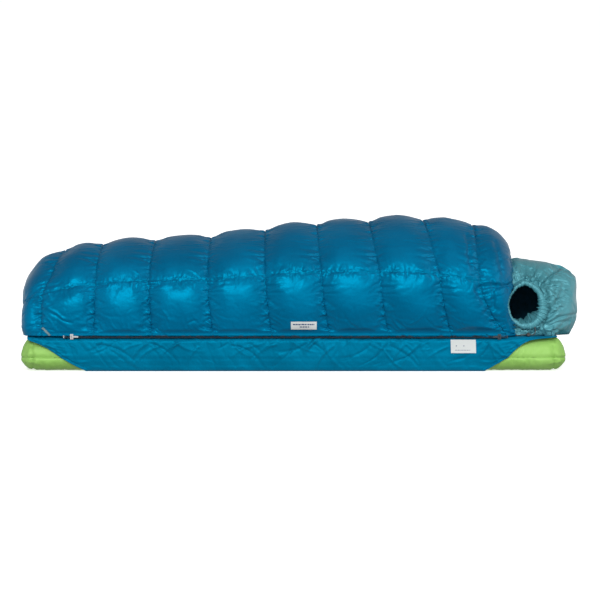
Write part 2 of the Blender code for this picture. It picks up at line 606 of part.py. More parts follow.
def build_drawcord():
    """The free tail of the drawcord, and the sprung lock on it."""
    route = smooth_route(CORD_ROUTE, 2)
    tube("drawcord", "cord", route, CORD_RADIUS)
    end = Vector(CORD_ROUTE[-1])
    bm = bmesh.new()
    bmesh.ops.create_uvsphere(bm, u_segments=12, v_segments=8, radius=KNOT_RADIUS)
    centre = end + Vector((-KNOT_RADIUS - GAP, -KNOT_OUT, SLEEVE_TOP + GAP + KNOT_RADIUS - end.z))
    bmesh.ops.translate(bm, vec=centre, verts=bm.verts)
    add_mesh("drawcord_knot", bm, "cord")

    x, z = LOCK_X, LOCK_Z
    barrel = cylinder("cord_lock_barrel", "black plastic", LOCK_RADIUS, (x, LOCK_Y[0], z),
                      (x, LOCK_Y[1], z), 24)
    hollow = cylinder("barrel_hollow", "black plastic", LOCK_BORE, (x, LOCK_Y[0] - 0.002, z),
                      (x, LOCK_Y[1] - LOCK_FLOOR, z), 24)
    cut(barrel, hollow)
    cord_y, cord_z = CORD_IN_LOCK_Y, CORD_IN_LOCK_Z
    passage = cylinder("barrel_passage", "black plastic", CORD_RADIUS + CORD_CLEARANCE,
                       (x - 0.01, cord_y, cord_z), (x + 0.01, cord_y, cord_z), 16)
    cut(barrel, passage)
    inner_end = cord_y + PLUNGER_BEHIND
    plunger = cylinder("cord_lock_plunger", "black plastic", PLUNGER_RADIUS,
                       (x, LOCK_Y[0] - PLUNGER_OUT, z), (x, inner_end, z), 24)
    slot = box("plunger_slot", "black plastic", (x - 0.01, x + 0.01),
               (cord_y - CORD_RADIUS - PLUNGER_TRAVEL - CORD_CLEARANCE,
                cord_y + CORD_RADIUS + CORD_CLEARANCE),
               (cord_z - CORD_RADIUS - CORD_CLEARANCE, cord_z + CORD_RADIUS + CORD_CLEARANCE))
    cut(plunger, slot)
    spring_low = inner_end + GAP + SPRING_WIRE
    spring_high = LOCK_Y[1] - LOCK_FLOOR - GAP - SPRING_WIRE
    coil = []
    for place in spaced(0, SPRING_TURNS, SPRING_TURNS * SPRING_STEPS):
        turn = 2 * math.pi * place
        along = spring_low + (spring_high - spring_low) * place / SPRING_TURNS
        coil.append((x + SPRING_RADIUS * math.cos(turn), along, z + SPRING_RADIUS * math.sin(turn)))
    spring = tube("cord_lock_spring", "metal", coil, SPRING_WIRE)
    group_on("cord_lock_joint", (x, cord_y, cord_z), [barrel, spring])
    group_on("plunger_joint", (x, LOCK_Y[0], z), [plunger])


def build_zip(lifting):
    first, last = SEAMS[0], SEAMS[-1]
    box("lower_zip_tape", "zip", (ZIP_FOOT_X, ZIP_HEAD_X), TAPE_Y, LOWER_TAPE_Z)
    box("lower_zip_coil", "zip", (ZIP_FOOT_X, ZIP_HEAD_X), COIL_Y, LOWER_COIL_Z)
    spans = {"foot": (ZIP_FOOT_X, first - SEAM_GAP), "upper": (first + SEAM_GAP, last - SEAM_GAP),
             "head": (last + SEAM_GAP, ZIP_HEAD_X)}
    for where, span in spans.items():
        tape = box(f"{where}_zip_tape", "zip", span, TAPE_Y, UPPER_TAPE_Z)
        coil = box(f"{where}_zip_coil", "zip", span, COIL_Y, UPPER_COIL_Z)
        if where == "upper":
            lifting += [tape, coil]
    coils_z = (LOWER_COIL_Z[0], UPPER_COIL_Z[1])
    foot_stop_x = ZIP_FOOT_X - GAP - STOP_LENGTH
    head_stop_x = ZIP_HEAD_X + GAP + STOP_LENGTH
    box("zip_foot_stop", "metal", (foot_stop_x, ZIP_FOOT_X - GAP), COIL_Y, coils_z)
    box("zip_head_stop", "metal", (ZIP_HEAD_X + GAP, head_stop_x), COIL_Y, coils_z)
    bm = bmesh.new()
    bmesh.ops.create_cone(bm, cap_ends=True, segments=10, radius1=DRAFT_TUBE_RADIUS,
                          radius2=DRAFT_TUBE_RADIUS, depth=last - first - DRAFT_TUBE_SHORTER)
    bmesh.ops.rotate(bm, matrix=Matrix.Rotation(math.pi / 2, 3, "Y"), verts=bm.verts)
    centre = ((first + last) / 2, -(BASE_HALF - LINING[1] - DRAFT_TUBE_RADIUS - 0.0005),
              BASE_Z + DRAFT_TUBE_RISE)
    bmesh.ops.translate(bm, vec=centre, verts=bm.verts)
    lifting.append(add_mesh("draft_tube", bm, "lining"))


def build_slider(name, x, way):
    """A zip slider whose post runs in the slot between the coils, its pin, and its pull tab."""
    plate_x = (x - SLIDER_HALF, x + SLIDER_HALF)
    middle = ZIP_MIDDLE_Z
    body = box(f"{name}_slider", "metal", plate_x, FRONT_PLATE_Y, FRONT_PLATE_Z)
    post = box(f"{name}_slider_post", "metal", (x - POST_HALF_X, x + POST_HALF_X),
               (FRONT_PLATE_Y[0] + PLATE_JOIN, BACK_PLATE_Y[1] - PLATE_JOIN),
               (middle - POST_HALF_Z, middle + POST_HALF_Z))
    back = box(f"{name}_slider_back", "metal", plate_x, BACK_PLATE_Y, BACK_PLATE_Z)
    cut(body, post, "UNION")
    cut(body, back, "UNION")
    ear_x = (x - EAR_HALF_X, x + EAR_HALF_X)
    ear_y = (PIN_Y - EAR_REACH, FRONT_PLATE_Y[1] - PLATE_JOIN)
    ear_low, ear_high = middle - EAR_HALF_SPAN, middle + EAR_HALF_SPAN
    for number, low in enumerate((ear_low, ear_high - EAR_THICK)):
        ear = box(f"{name}_slider_ear_{number}", "metal", ear_x, ear_y, (low, low + EAR_THICK))
        cut(body, ear, "UNION")
    pin_reach = EAR_HALF_SPAN - EAR_THICK - GAP
    pin = cylinder(f"{name}_pull_pin", "metal", PIN_RADIUS, (x, PIN_Y, middle - pin_reach),
                   (x, PIN_Y, middle + pin_reach), 12)
    eye = cylinder(f"{name}_pull", "metal", EYE_RADIUS, (x, PIN_Y, middle - PULL_HEIGHT / 2),
                   (x, PIN_Y, middle + PULL_HEIGHT / 2), 20)
    tab_ends = sorted((x + way * PIN_RADIUS * 1.3, x + way * PULL_LENGTH))
    tab_reach = PULL_HEIGHT / 2 - 0.0002
    tab = box(f"{name}_pull_tab", "metal", tab_ends, (PIN_Y - PULL_THICK / 2, PIN_Y + PULL_THICK / 2),
              (middle - tab_reach, middle + tab_reach))
    bore = cylinder(f"{name}_pull_bore", "metal", EYE_BORE, (x, PIN_Y, middle - PULL_HEIGHT),
                    (x, PIN_Y, middle + PULL_HEIGHT), 20)
    cut(eye, tab, "UNION")
    cut(eye, bore)
    group_on(f"{name}_slider_joint", (x, PIN_Y, ZIP_MIDDLE_Z), [body, pin])
    group_on(f"{name}_pull_joint", (x, PIN_Y, ZIP_MIDDLE_Z), [eye])


def build_labels(lifting):
    lifting.append(patch("side_label", "label", bag_shape, *SIDE_LABEL, LABEL_DEPTHS))
    box("care_label", "label", CARE_LABEL[0], CARE_LABEL_Y, CARE_LABEL[1])
    patch("foot_tab", "lining", bag_shape, *FOOT_TAB, TAB_DEPTHS)


clear_scene()
PARTS = new_collection("hooded_sleeping_bag_on_pad")
CUTTERS = new_collection("cutters")
build_sleeve()
build_pad()
lifting_pieces = build_quilt()
build_hood_trim()
build_drawcord()
build_zip(lifting_pieces)
build_slider("foot", FOOT_SLIDER_X, 1)
build_slider("head", HEAD_SLIDER_X, -1)
build_labels(lifting_pieces)
group_on("top_joint", TOP_HINGE, lifting_pieces)
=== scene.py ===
"""The looks of a hooded quilted down sleeping bag whose lower half is a sleeve
round an inflatable pad.

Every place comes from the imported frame, in metres: +X is the hood end and -Y the zip side.
"""

import itertools
import math

import bpy
import numpy as np
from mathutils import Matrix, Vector
from mathutils.bvhtree import BVHTree


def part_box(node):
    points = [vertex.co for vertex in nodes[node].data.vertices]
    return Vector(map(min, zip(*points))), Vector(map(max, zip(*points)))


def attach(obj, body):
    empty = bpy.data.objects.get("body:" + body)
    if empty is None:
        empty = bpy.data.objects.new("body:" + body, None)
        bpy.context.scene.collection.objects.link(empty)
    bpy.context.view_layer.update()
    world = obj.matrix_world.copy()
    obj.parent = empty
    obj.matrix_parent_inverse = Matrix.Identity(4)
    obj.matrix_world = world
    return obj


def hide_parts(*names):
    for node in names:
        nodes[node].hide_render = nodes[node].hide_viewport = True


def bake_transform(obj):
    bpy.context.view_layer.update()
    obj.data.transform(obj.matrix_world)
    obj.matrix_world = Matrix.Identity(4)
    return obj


# Camera, in the plane of the near side
VIEW_WIDTH, CAMERA_DISTANCE, CAMERA_ELEVATION = 2.004, 10.0, math.radians(2.6)
VIEW_CENTRE = (-0.0017, -0.27, 0.2405)

# Drawcord: the same route as its solid
CORD_DIAMETER = 0.003
CORD_ROUTE = [(0.7855, -0.2262, 0.1495), (0.7872, -0.2285, 0.1435), (0.7880, -0.2312, 0.1370),
              (0.7872, -0.2333, 0.1305), (0.7842, -0.2343, 0.1256), (0.7790, -0.2345, 0.1230),
              (0.7730, -0.2345, 0.1225), (0.7650, -0.2345, 0.1225), (0.7560, -0.2345, 0.1225),
              (0.7470, -0.2345, 0.1225), (0.7400, -0.2345, 0.1222), (0.7335, -0.2345, 0.1208),
              (0.7275, -0.2345, 0.1196)]

# Quilting: each cross seam as its X at the crest, at the long side seam and at the base
GRID, RING_RAYS, FOOT_END_LENGTH = 0.006, 121, 0.26
SEAM_MID_SLANT = (-0.012, -0.013, -0.005, 0.003, 0.013, 0.032, 0.046, 0.008)
SEAM_BASE_SLANT = (-0.015, 0.0, 0.015, 0.027, 0.044, 0.064, 0.088, 0.104)
LONG_SEAM_HEIGHT = ((-0.90, 0.54), (-0.70, 0.58), (-0.12, 0.575), (0.27, 0.555), (0.46, 0.53),
                    (0.58, 0.50), (0.62, 0.48), (0.72, 0.56))
CAP_X, CAP_REACH = -0.80, 0.30
FOOT_SEAM = (-0.803, -0.846, -0.848)
NECK_SEAM = (0.724, 0.704, 0.716)
CROSS_SEAM_DEPTH, LONG_SEAM_DEPTH, CORNER = 0.0125, 0.0050, 0.018
SHOULDER_PUSH, FOOT_PUSH, HOOD_PUSH, OVERHANG, HOOD_TOE = 0.015, 0.008, 0.024, 0.0062, 0.026
BASE_CREASES = 64
SHOULDER_FOLDS = ((((0.560, 0.455), (0.568, 0.360), (0.590, 0.270), (0.632, 0.190), (0.672, 0.135)),
                   0.0050, 0.0050),
                  (((0.640, 0.300), (0.643, 0.222)), 0.0045, 0.0050),
                  (((0.600, 0.286), (0.655, 0.287), (0.705, 0.292)), 0.0050, 0.0060),
                  (((0.655, 0.430), (0.672, 0.350), (0.682, 0.300)), 0.0060, 0.0035))
LINING_DEPTH = 0.036
LIP_RADIUS = 0.013

# Hood
HOOD_CAP_X, HOOD_CAP_REACH, HOOD_TUCK, TUCK_DEPTH, TUCK_ROWS = 0.80, 0.20, 0.036, 0.014, 12
HOOD_SEAM = ((0.808, 0.283), (0.850, 0.318), (0.895, 0.341))
PLEAT_START, PLEAT_RISE, CHANNEL_WIDTH, PLEATS = (0.780, 0.142), 0.0030, 0.017, 10
COLLAR_DEPTH = 0.055
# Wide folds that run out from the face rim: X, Z, heading in degrees, length, width, height
RIM_FOLDS = ((0.824, 0.272, -19, 0.095, 0.0080, 0.0105), (0.832, 0.254, -37, 0.065, 0.0075, 0.0100),
             (0.820, 0.286, -4, 0.100, 0.0060, 0.0065), (0.836, 0.233, -50, 0.065, 0.0070, 0.0075),
             (0.800, 0.293, 40, 0.055, 0.0060, 0.0070), (0.775, 0.296, 62, 0.060, 0.0060, 0.0080),
             (0.757, 0.296, 82, 0.060, 0.0060, 0.0080), (0.806, 0.140, 26, 0.125, 0.0095, 0.0110),
             (0.815, 0.128, 10, 0.080, 0.0070, 0.0080))

# Sleeve: its end cuts as (X, height) on both sides, and how far its sides bulge at each height
SLEEVE_FOOT_CUT = ((-0.712, 0.0), (-0.746, 0.016), (-0.789, 0.040), (-0.815, 0.057),
                   (-0.851, 0.082), (-0.882, 0.097), (-0.912, 0.106), (-0.914, 0.1175))
SLEEVE_HEAD_CUT = ((0.611, 0.0), (0.645, 0.020), (0.691, 0.047), (0.721, 0.077),
                   (0.747, 0.097), (0.772, 0.108), (0.820, 0.1135), (0.860, 0.1175))
SLEEVE_PANEL_X, SLEEVE_PANEL_CORNER_Y = (0.860, 0.745), 0.05
SLEEVE_ROUND, HEM_RADIUS = 0.020, 0.0020
SIDE_BULGE = ((0.0, -0.0045), (0.020, -0.0035), (0.036, 0.0012), (0.052, 0.0042),
              (0.075, 0.0052), (0.098, 0.0068), (0.106, 0.0052), (0.110, 0.0020), (0.1175, 0.0))
LONG_CREASES, SHORT_CREASES, SIDE_FOLD_Z = 64, 150, 0.043

# The strip along the far side: its section as (Y, Z)
FAR_SEAM = ((0.2562, 0.1196), (0.2585, 0.1200), (0.2600, 0.1180), (0.2612, 0.1130),
            (0.2615, 0.1070),
            (0.2608, 0.1010), (0.2596, 0.1006), (0.2590, 0.1070), (0.2588, 0.1120),
            (0.2575, 0.1165))
FAR_SEAM_X = (-0.80, 0.700)

# Pad
PAD_CORNER, PAD_EDGE, PAD_WELD_Z, PAD_FULLNESS = 0.05, 0.055, 0.046, 2.1
END_SEAM_INSET, BAFFLE_DEPTH, PAD_WELD_RADIUS = 0.040, 0.010, 0.0011

# Zip
TOOTH_PITCH, TOOTH_GAP, ZIP_BACKING = 0.0026, 0.0001, 0.0026

# Room: the sky as (height, brightness), and each sun as name, azimuth, elevation, spread, power
FLOOR_REACH, FLOOR_GLOW = 60.0, 0.62
SKY = ((0.0, 0.42), (0.485, 0.47), (0.492, 1.03), (0.53, 1.02), (0.57, 0.62), (0.66, 0.42),
       (0.80, 0.20),
       (1.0, 0.12))
SUNS = (("main_light", -6.0, 26.0, 24.0, 1.70), ("high_light", -4.0, 62.0, 40.0, 0.22),
        ("low_light", 10.0, 8.0, 50.0, 0.62), ("left_light", -52.0, 24.0, 36.0, 0.16),
        ("right_light", 58.0, 34.0, 40.0, 0.80))


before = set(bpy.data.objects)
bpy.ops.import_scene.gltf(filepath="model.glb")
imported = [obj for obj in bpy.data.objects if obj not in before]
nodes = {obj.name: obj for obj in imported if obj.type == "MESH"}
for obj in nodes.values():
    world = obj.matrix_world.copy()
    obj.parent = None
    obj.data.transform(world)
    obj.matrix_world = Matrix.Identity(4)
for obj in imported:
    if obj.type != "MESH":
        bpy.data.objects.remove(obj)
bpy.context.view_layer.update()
scene = bpy.context.scene


# Geometry helpers

def smooth_step(t):
    t = np.clip(t, 0.0, 1.0)
    return t * t * (3 - 2 * t)


def noise(points, size, seed=0):
    """Smooth noise from -1 to 1 whose features have the given size, one number or three."""
    table = np.random.default_rng(seed).uniform(-1.0, 1.0, 8192)
    scaled = np.asarray(points, float) / np.asarray(size, float)
    cell = np.floor(scaled).astype(np.int64)
    part = scaled - cell
    part = part * part * (3 - 2 * part)
    total = np.zeros(scaled.shape[:-1])
    for corner in itertools.product((0, 1), repeat=3):
        key = (cell + corner) @ np.array([73856093, 19349663, 83492791])
        weight = np.prod(np.where(np.array(corner) == 1, part, 1 - part), axis=-1)
        total += table[key % 8192] * weight
    return total


def plane(u, v):
    """Points for noise over two coordinates."""
    u, v = np.broadcast_arrays(u, v)
    return np.stack([u, v, np.zeros_like(u)], axis=-1)


def creases(u, v, marks):
    """Height of a set of creases at (u, v). A mark is start u, v, heading,
    length, width, height."""
    height = np.zeros(np.broadcast(u, v).shape)
    for u0, v0, heading, length, width, rise in marks:
        along = (u - u0) * math.cos(heading) + (v - v0) * math.sin(heading)
        across = (v - v0) * math.cos(heading) - (u - u0) * math.sin(heading)
        across = across + (0.10 * length * np.sin(math.pi * np.clip(along / length, 0, 1))
                           * np.sign(rise))
        share = np.clip(along / length, 0.0, 1.0)
        fade = np.sin(math.pi * share ** 0.6) ** 0.8
        height += rise * fade * np.exp(-((across / width) ** 2))
    return height


def gaussian(values, sigma, axis):
    """Smooths along an axis, in samples, with the ends held."""
    reach = int(3 * sigma)
    kernel = np.exp(-0.5 * (np.arange(-reach, reach + 1) / sigma) ** 2)
    kernel /= kernel.sum()
    moved = np.moveaxis(values, axis, 0)
    first = 2 * moved[:1] - moved[reach:0:-1]
    last = 2 * moved[-1:] - moved[-2:-reach - 2:-1]
    padded = np.concatenate([first, moved, last])
    out = sum(w * padded[i:i + len(moved)] for i, w in enumerate(kernel))
    return np.moveaxis(out, 0, axis)


def doubled(points, axis):
    """Twice as many samples along an axis, on a smooth curve through the old ones."""
    p = np.moveaxis(points, axis, 0)
    ends = np.concatenate([2 * p[:1] - p[1:2], p, 2 * p[-1:] - p[-2:-1]])
    middle = (9 * (ends[1:-2] + ends[2:-1]) - (ends[:-3] + ends[3:])) / 16
    out = np.empty((2 * len(p) - 1, *p.shape[1:]))
    out[0::2], out[1::2] = p, middle
    return np.moveaxis(out, 0, axis)


def finer(values):
    return doubled(doubled(values, 0), 1)


def normals_of(points, wrap=False):
    """Unit normals of a (rows, columns, 3) grid, rows x columns outwards."""
    along = np.gradient(points, axis=0)
    if wrap:
        around = (np.roll(points, -1, axis=1) - np.roll(points, 1, axis=1)) / 2
    else:
        around = np.gradient(points, axis=1)
    normal = np.cross(along, around)
    return normal / np.maximum(np.linalg.norm(normal, axis=-1, keepdims=True), 1e-12)


def grid_faces(rows, columns, wrap=False):
    index = np.arange(rows * columns).reshape(rows, columns)
    if wrap:
        index = np.column_stack([index, index[:, 0]])
    quads = np.stack([index[:-1, :-1], index[1:, :-1], index[1:, 1:], index[:-1, 1:]], axis=-1)
    return quads.reshape(-1, 4)


def border_of(grid):
    """The outer ring of a grid, once round."""
    return np.concatenate([grid[:, 0], grid[-1, 1:], grid[-2::-1, -1], grid[0, -2:0:-1]])


def closed(loop):
    """A ring of rows with its first row again at the end."""
    return np.concatenate([loop, loop[:1]])


def grid_object(name, points, wrap=False, keep=None, flip=False, seam=None):
    """A mesh object of a grid's quads. keep is a mask of the points whose quads stay, and seam
    a number for each point, the strength of the painted seam shade that the materials read."""
    quads = grid_faces(*points.shape[:2], wrap)
    if keep is not None:
        quads = quads[keep.reshape(-1)[quads].all(axis=1)]
    if flip:
        quads = quads[:, ::-1]
    used, quads = np.unique(quads, return_inverse=True)
    obj = mesh_object(name, points.reshape(-1, 3)[used], quads.reshape(-1, 4))
    if seam is not None:
        made = obj.data.attributes.new("seam", "FLOAT", "POINT")
        values = np.broadcast_to(seam, points.shape[:2]).reshape(-1)[used]
        made.data.foreach_set("value", values.astype(np.float32))
    return obj


def mesh_object(name, points, faces, smooth=True):
    mesh = bpy.data.meshes.new(name)
    faces = faces.tolist() if isinstance(faces, np.ndarray) else faces
    mesh.from_pydata(np.asarray(points).tolist(), [], faces)
    if smooth:
        mesh.shade_smooth()
    obj = bpy.data.objects.new(name, mesh)
    scene.collection.objects.link(obj)
    return obj


def read_points(obj):
    flat = np.empty(len(obj.data.vertices) * 3, np.float32)
    obj.data.vertices.foreach_get("co", flat)
    return flat.reshape(-1, 3).astype(float)


def simulate(points, faces, pins, pressure, growth, frames, most):
    """Cloth blown up between its pinned points. Returns the points,
    none moved further than most."""
    obj = mesh_object("cloth_work", points, faces)
    group = obj.vertex_groups.new(name="pins")
    group.add(np.flatnonzero(pins).tolist(), 1.0, "REPLACE")
    modifier = obj.modifiers.new("cloth", "CLOTH")
    settings = modifier.settings
    settings.quality = 4
    settings.mass = 0.15
    settings.tension_stiffness = settings.compression_stiffness = 12
    settings.shear_stiffness = 4
    settings.bending_stiffness = 0.05
    settings.use_pressure = True
    settings.uniform_pressure_force = pressure
    settings.shrink_min = -growth
    settings.vertex_group_mass = "pins"
    settings.effector_weights.gravity = 0.0
    modifier.collision_settings.use_collision = False
    modifier.point_cache.frame_end = frames
    scene.frame_start, scene.frame_end = 1, frames
    for number in range(1, frames + 1):
        scene.frame_set(number)
    evaluated = obj.evaluated_get(bpy.context.evaluated_depsgraph_get())
    moved = read_points(evaluated)
    scene.frame_set(1)
    mesh = obj.data
    bpy.data.objects.remove(obj)
    bpy.data.meshes.remove(mesh)
    step = moved - points
    length = np.linalg.norm(step, axis=1, keepdims=True)
    return points + step * np.minimum(1.0, most / np.maximum(length, 1e-9))


def tree_of(*names):
    """A search tree over the faces of CAD nodes."""
    points, faces = [], []
    for name in names:
        start = len(points)
        mesh = nodes[name].data
        points += [v.co.copy() for v in mesh.vertices]
        faces += [[start + i for i in p.vertices] for p in mesh.polygons]
    return BVHTree.FromPolygons(points, faces)


def outline_of(tree, centre, lean, way):
    """Outer points round one half ring, from the near base over the crest to the far base.

    lean is the angle by which the rays leave the plane across X, towards way times X.
    """
    found = []
    for turn in np.linspace(0.004, math.pi - 0.004, RING_RAYS):
        ray = Vector((way * math.sin(lean), -math.cos(turn) * math.cos(lean),
                      math.sin(turn) * math.cos(lean)))
        hit = tree.ray_cast(Vector(centre) + ray, -ray)[0]
        found.append(hit if hit is not None else (found[-1] if found else Vector(centre)))
    return np.array(found)


def face_frame():
    """Centre and half sizes of the face opening along the middle of its rim,
    and the rim's radius."""
    low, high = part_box("face_rim")
    centre, half = (low + high) / 2, (high - low) / 2
    return centre, half.x - half.y, half.z - half.y, half.y


def face_distance(points):
    """How far out a point is from the face opening's middle, 1 on the middle of the rim."""
    centre, half_x, half_z, _ = face_frame()
    return np.hypot((points[..., 0] - centre.x) / half_x, (points[..., 2] - centre.z) / half_z)


def bridged(surface):
    """Spans the face opening, where rays went on to the inside of the far wall."""
    centre = face_frame()[0]
    origin = np.array([0.0, 0.0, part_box("top_shell")[0].z])
    run = surface - origin
    run[..., 0] = 0.0
    share = centre.y / np.minimum(run[..., 1], -1e-6)
    crossing = np.stack([surface[..., 0], np.full(share.shape, centre.y),
                         origin[2] + run[..., 2] * share], axis=-1)
    hidden = (face_distance(crossing) < 1.30) & (surface[..., 1] < 0.0)
    hidden |= (face_distance(surface) < 1.30) & (surface[..., 1] < -0.05)
    hidden[:, :2] = hidden[:, -2:] = False
    out = surface.copy()
    for _ in range(900):
        middle = (out[:-2, 1:-1] + out[2:, 1:-1] + out[1:-1, :-2] + out[1:-1, 2:]) / 4
        inside = hidden[1:-1, 1:-1]
        out[1:-1, 1:-1][inside] = middle[inside]
        out[-1][hidden[-1]] = 2 * out[-2][hidden[-1]] - out[-3][hidden[-1]]
        out[0][hidden[0]] = 2 * out[1][hidden[0]] - out[2][hidden[0]]
    return out


def lofted(tree, xs, cap_x, cap_reach, way):
    """A dense smooth surface over a half-tube that one end closes. Its row coordinate is X, then
    goes on past cap_x to cap_x + way * cap_reach at the middle of the foot of the end wall."""
    base_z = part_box("top_shell")[0].z
    rows, places = [], []
    for x in xs:
        rows.append(outline_of(tree, (x, 0.0, base_z), 0.0, way))
        places.append(x)
    for share in np.linspace(0.02, 0.985, 64):
        rows.append(outline_of(tree, (cap_x, 0.0, base_z), share * math.pi / 2, way))
        places.append(cap_x + way * share * cap_reach)
    order = np.argsort(places)
    surface = bridged(np.array(rows)[order])
    surface = gaussian(gaussian(surface, 4.5, 1), 2.5, 0)
    surface[:, 0, 2] = surface[:, -1, 2] = base_z
    return np.array(places)[order], surface


def spread(polyline, counts, stops):
    """Resamples a polyline so that counts[i] even steps lie between stops[i] and stops[i + 1],
    which are places along it from 0 to 1."""
    step = np.linalg.norm(np.diff(polyline, axis=0), axis=1)
    run = np.concatenate([[0.0], np.cumsum(step)])
    run /= run[-1]
    places = [0.0]
    for count, low, high in zip(counts, stops, stops[1:]):
        places += list(low + (high - low) * np.arange(1, count + 1) / count)
    return np.stack([np.interp(places, run, polyline[:, k]) for k in range(3)], axis=-1)


def seam_places(ring, share):
    """Where along a ring the two long side seams lie, by their share of its height."""
    step = np.linalg.norm(np.diff(ring, axis=0), axis=1)
    run = np.concatenate([[0.0], np.cumsum(step)]) / step.sum()
    height = (ring[:, 2] - ring[0, 2]) / (ring[:, 2].max() - ring[0, 2])
    crest = int(np.argmax(height))
    near = np.interp(share, height[:crest + 1], run[:crest + 1])
    far = np.interp(share, height[crest:][::-1], run[crest:][::-1])
    return near, far


def at_rows(places, surface, wanted):
    """Reads a surface at a row coordinate that differs from column to column."""
    out = np.empty((*wanted.shape, 3))
    for column in range(surface.shape[1]):
        for k in range(3):
            out[:, column, k] = np.interp(wanted[:, column], places, surface[:, column, k])
    return out


# Materials

def new_material(name, roughness, **values):
    made = bpy.data.materials.new(name)
    made.use_nodes = True
    shader = made.node_tree.nodes["Principled BSDF"]
    for key, value in {"roughness": roughness, **values}.items():
        shader.inputs[key.replace("_", " ").title().replace("Ior", "IOR")].default_value = value
    return made, made.node_tree, shader


def tinted(colour, share):
    return tuple(share * c for c in colour)


def node(tree, kind, **settings):
    made = tree.nodes.new(kind)
    for key, value in settings.items():
        if key in made.inputs:
            made.inputs[key].default_value = value
        else:
            setattr(made, key, value)
    return made


def noise_node(tree, scale, detail=3.0, stretch=None):
    """A noise texture over the object's own coordinates, in metres."""
    coordinates = node(tree, "ShaderNodeTexCoord")
    source = coordinates.outputs["Object"]
    if stretch:
        mapping = node(tree, "ShaderNodeMapping")
        mapping.inputs["Scale"].default_value = stretch
        tree.links.new(source, mapping.inputs["Vector"])
        source = mapping.outputs["Vector"]
    made = node(tree, "ShaderNodeTexNoise", Scale=scale, Detail=detail)
    tree.links.new(source, made.inputs["Vector"])
    return made


def ramp(tree, source, stops):
    """A colour ramp. stops are (place, colour)."""
    made = node(tree, "ShaderNodeValToRGB")
    elements = made.color_ramp.elements
    while len(elements) < len(stops):
        elements.new(0.5)
    for element, (place, colour) in zip(elements, stops):
        element.position = place
        element.color = (*colour, 1.0)
    tree.links.new(source, made.inputs["Fac"])
    return made.outputs["Color"]


def math_node(tree, operation, a, b=None):
    made = node(tree, "ShaderNodeMath", operation=operation)
    for place, value in enumerate((a, b)):
        if value is None:
            continue
        if isinstance(value, (int, float)):
            made.inputs[place].default_value = value
        else:
            tree.links.new(value, made.inputs[place])
    return made.outputs["Value"]


def mixed(tree, factor, a, b, blend="MIX"):
    made = node(tree, "ShaderNodeMix", data_type="RGBA", blend_type=blend)
    sockets = (made.inputs["Factor"], made.inputs[6], made.inputs[7])
    for target, value in zip(sockets, (factor, a, b)):
        if isinstance(value, (int, float)):
            target.default_value = value
        elif isinstance(value, tuple):
            target.default_value = (*value, 1.0)
        else:
            tree.links.new(value, target)
    return made.outputs[2]


def scaled(tree, source, factor, offset):
    return math_node(tree, "ADD", math_node(tree, "MULTIPLY", source, factor), offset)


def bumped(tree, shader, height, strength, distance):
    bump = node(tree, "ShaderNodeBump", Strength=strength, Distance=distance)
    tree.links.new(height, bump.inputs["Height"])
    tree.links.new(bump.outputs["Normal"], shader.inputs["Normal"])


def woven(tree, pitch):
    """The height of a plain weave with the given thread pitch, in metres."""
    coordinates = node(tree, "ShaderNodeTexCoord")
    bands = []
    for direction in ("X", "Z"):
        wave = node(tree, "ShaderNodeTexWave", bands_direction=direction, Scale=1 / (pitch * 20))
        tree.links.new(coordinates.outputs["Object"], wave.inputs["Vector"])
        bands.append(wave.outputs["Fac"])
    return math_node(tree, "MULTIPLY", *bands)


def fabric(name, colours, roughness, tint, level, pitch=0.0006, crinkle=0.5, seams=False):
    """Thin woven nylon: patchy colour, a coloured satin gloss, fine crinkles and a weave; with
    seams, a painted shade that darkens the colour along the seams.
    """
    made, tree, shader = new_material(name, roughness, specular_tint=(*tint, 1.0),
                                      specular_ior_level=level)
    dark, plain, light = colours
    patches = noise_node(tree, 7.0, 4.0)
    colour = ramp(tree, patches.outputs["Fac"], [(0.30, dark), (0.52, plain), (0.75, light)])
    threads = noise_node(tree, 900.0, 1.0, (1.0, 1.0, 0.25))
    colour = mixed(tree, 0.10, colour, ramp(tree, threads.outputs["Fac"],
                                            [(0.3, dark), (0.7, light)]))
    # With seams, the seam attribute darkens the colour along the seams: painted shade in the seam
    # valleys.
    if seams:
        seam = node(tree, "ShaderNodeAttribute", attribute_name="seam").outputs["Fac"]
        shade = math_node(tree, "MULTIPLY", seam, 0.45)
        colour = mixed(tree, shade, colour, tinted(dark, 0.35))
    tree.links.new(colour, shader.inputs["Base Color"])
    small = noise_node(tree, 130.0, 3.0)
    fine = noise_node(tree, 420.0, 2.0)
    height = math_node(tree, "ADD", math_node(tree, "MULTIPLY", small.outputs["Fac"], crinkle),
                       math_node(tree, "MULTIPLY", fine.outputs["Fac"], 0.25 * crinkle))
    height = math_node(tree, "ADD", height, math_node(tree, "MULTIPLY", woven(tree, pitch), 0.06))
    bumped(tree, shader, height, 0.5, 0.0016)
    tree.links.new(scaled(tree, patches.outputs["Fac"], 0.16, roughness - 0.08),
                   shader.inputs["Roughness"])
    return made


def plastic(name, colour, roughness):
    made, tree, shader = new_material(name, roughness)
    grain = noise_node(tree, 1400.0, 2.0)
    tree.links.new(mixed(tree, grain.outputs["Fac"], tinted(colour, 0.7), tinted(colour, 1.4)),
                   shader.inputs["Base Color"])
    wear = noise_node(tree, 160.0, 4.0)
    tree.links.new(scaled(tree, wear.outputs["Fac"], 0.3, roughness - 0.15),
                   shader.inputs["Roughness"])
    bumped(tree, shader, grain.outputs["Fac"], 0.15, 0.0002)
    return made


def metal(name, colour, roughness):
    made, tree, shader = new_material(name, roughness, metallic=1.0)
    scratches = noise_node(tree, 700.0, 4.0, (0.15, 1.0, 1.0))
    tree.links.new(ramp(tree, scratches.outputs["Fac"],
                        [(0.3, tinted(colour, 0.75)), (0.7, colour)]),
                   shader.inputs["Base Color"])
    tree.links.new(scaled(tree, scratches.outputs["Fac"], 0.25, roughness - 0.1),
                   shader.inputs["Roughness"])
    bumped(tree, shader, scratches.outputs["Fac"], 0.12, 0.0002)
    return made


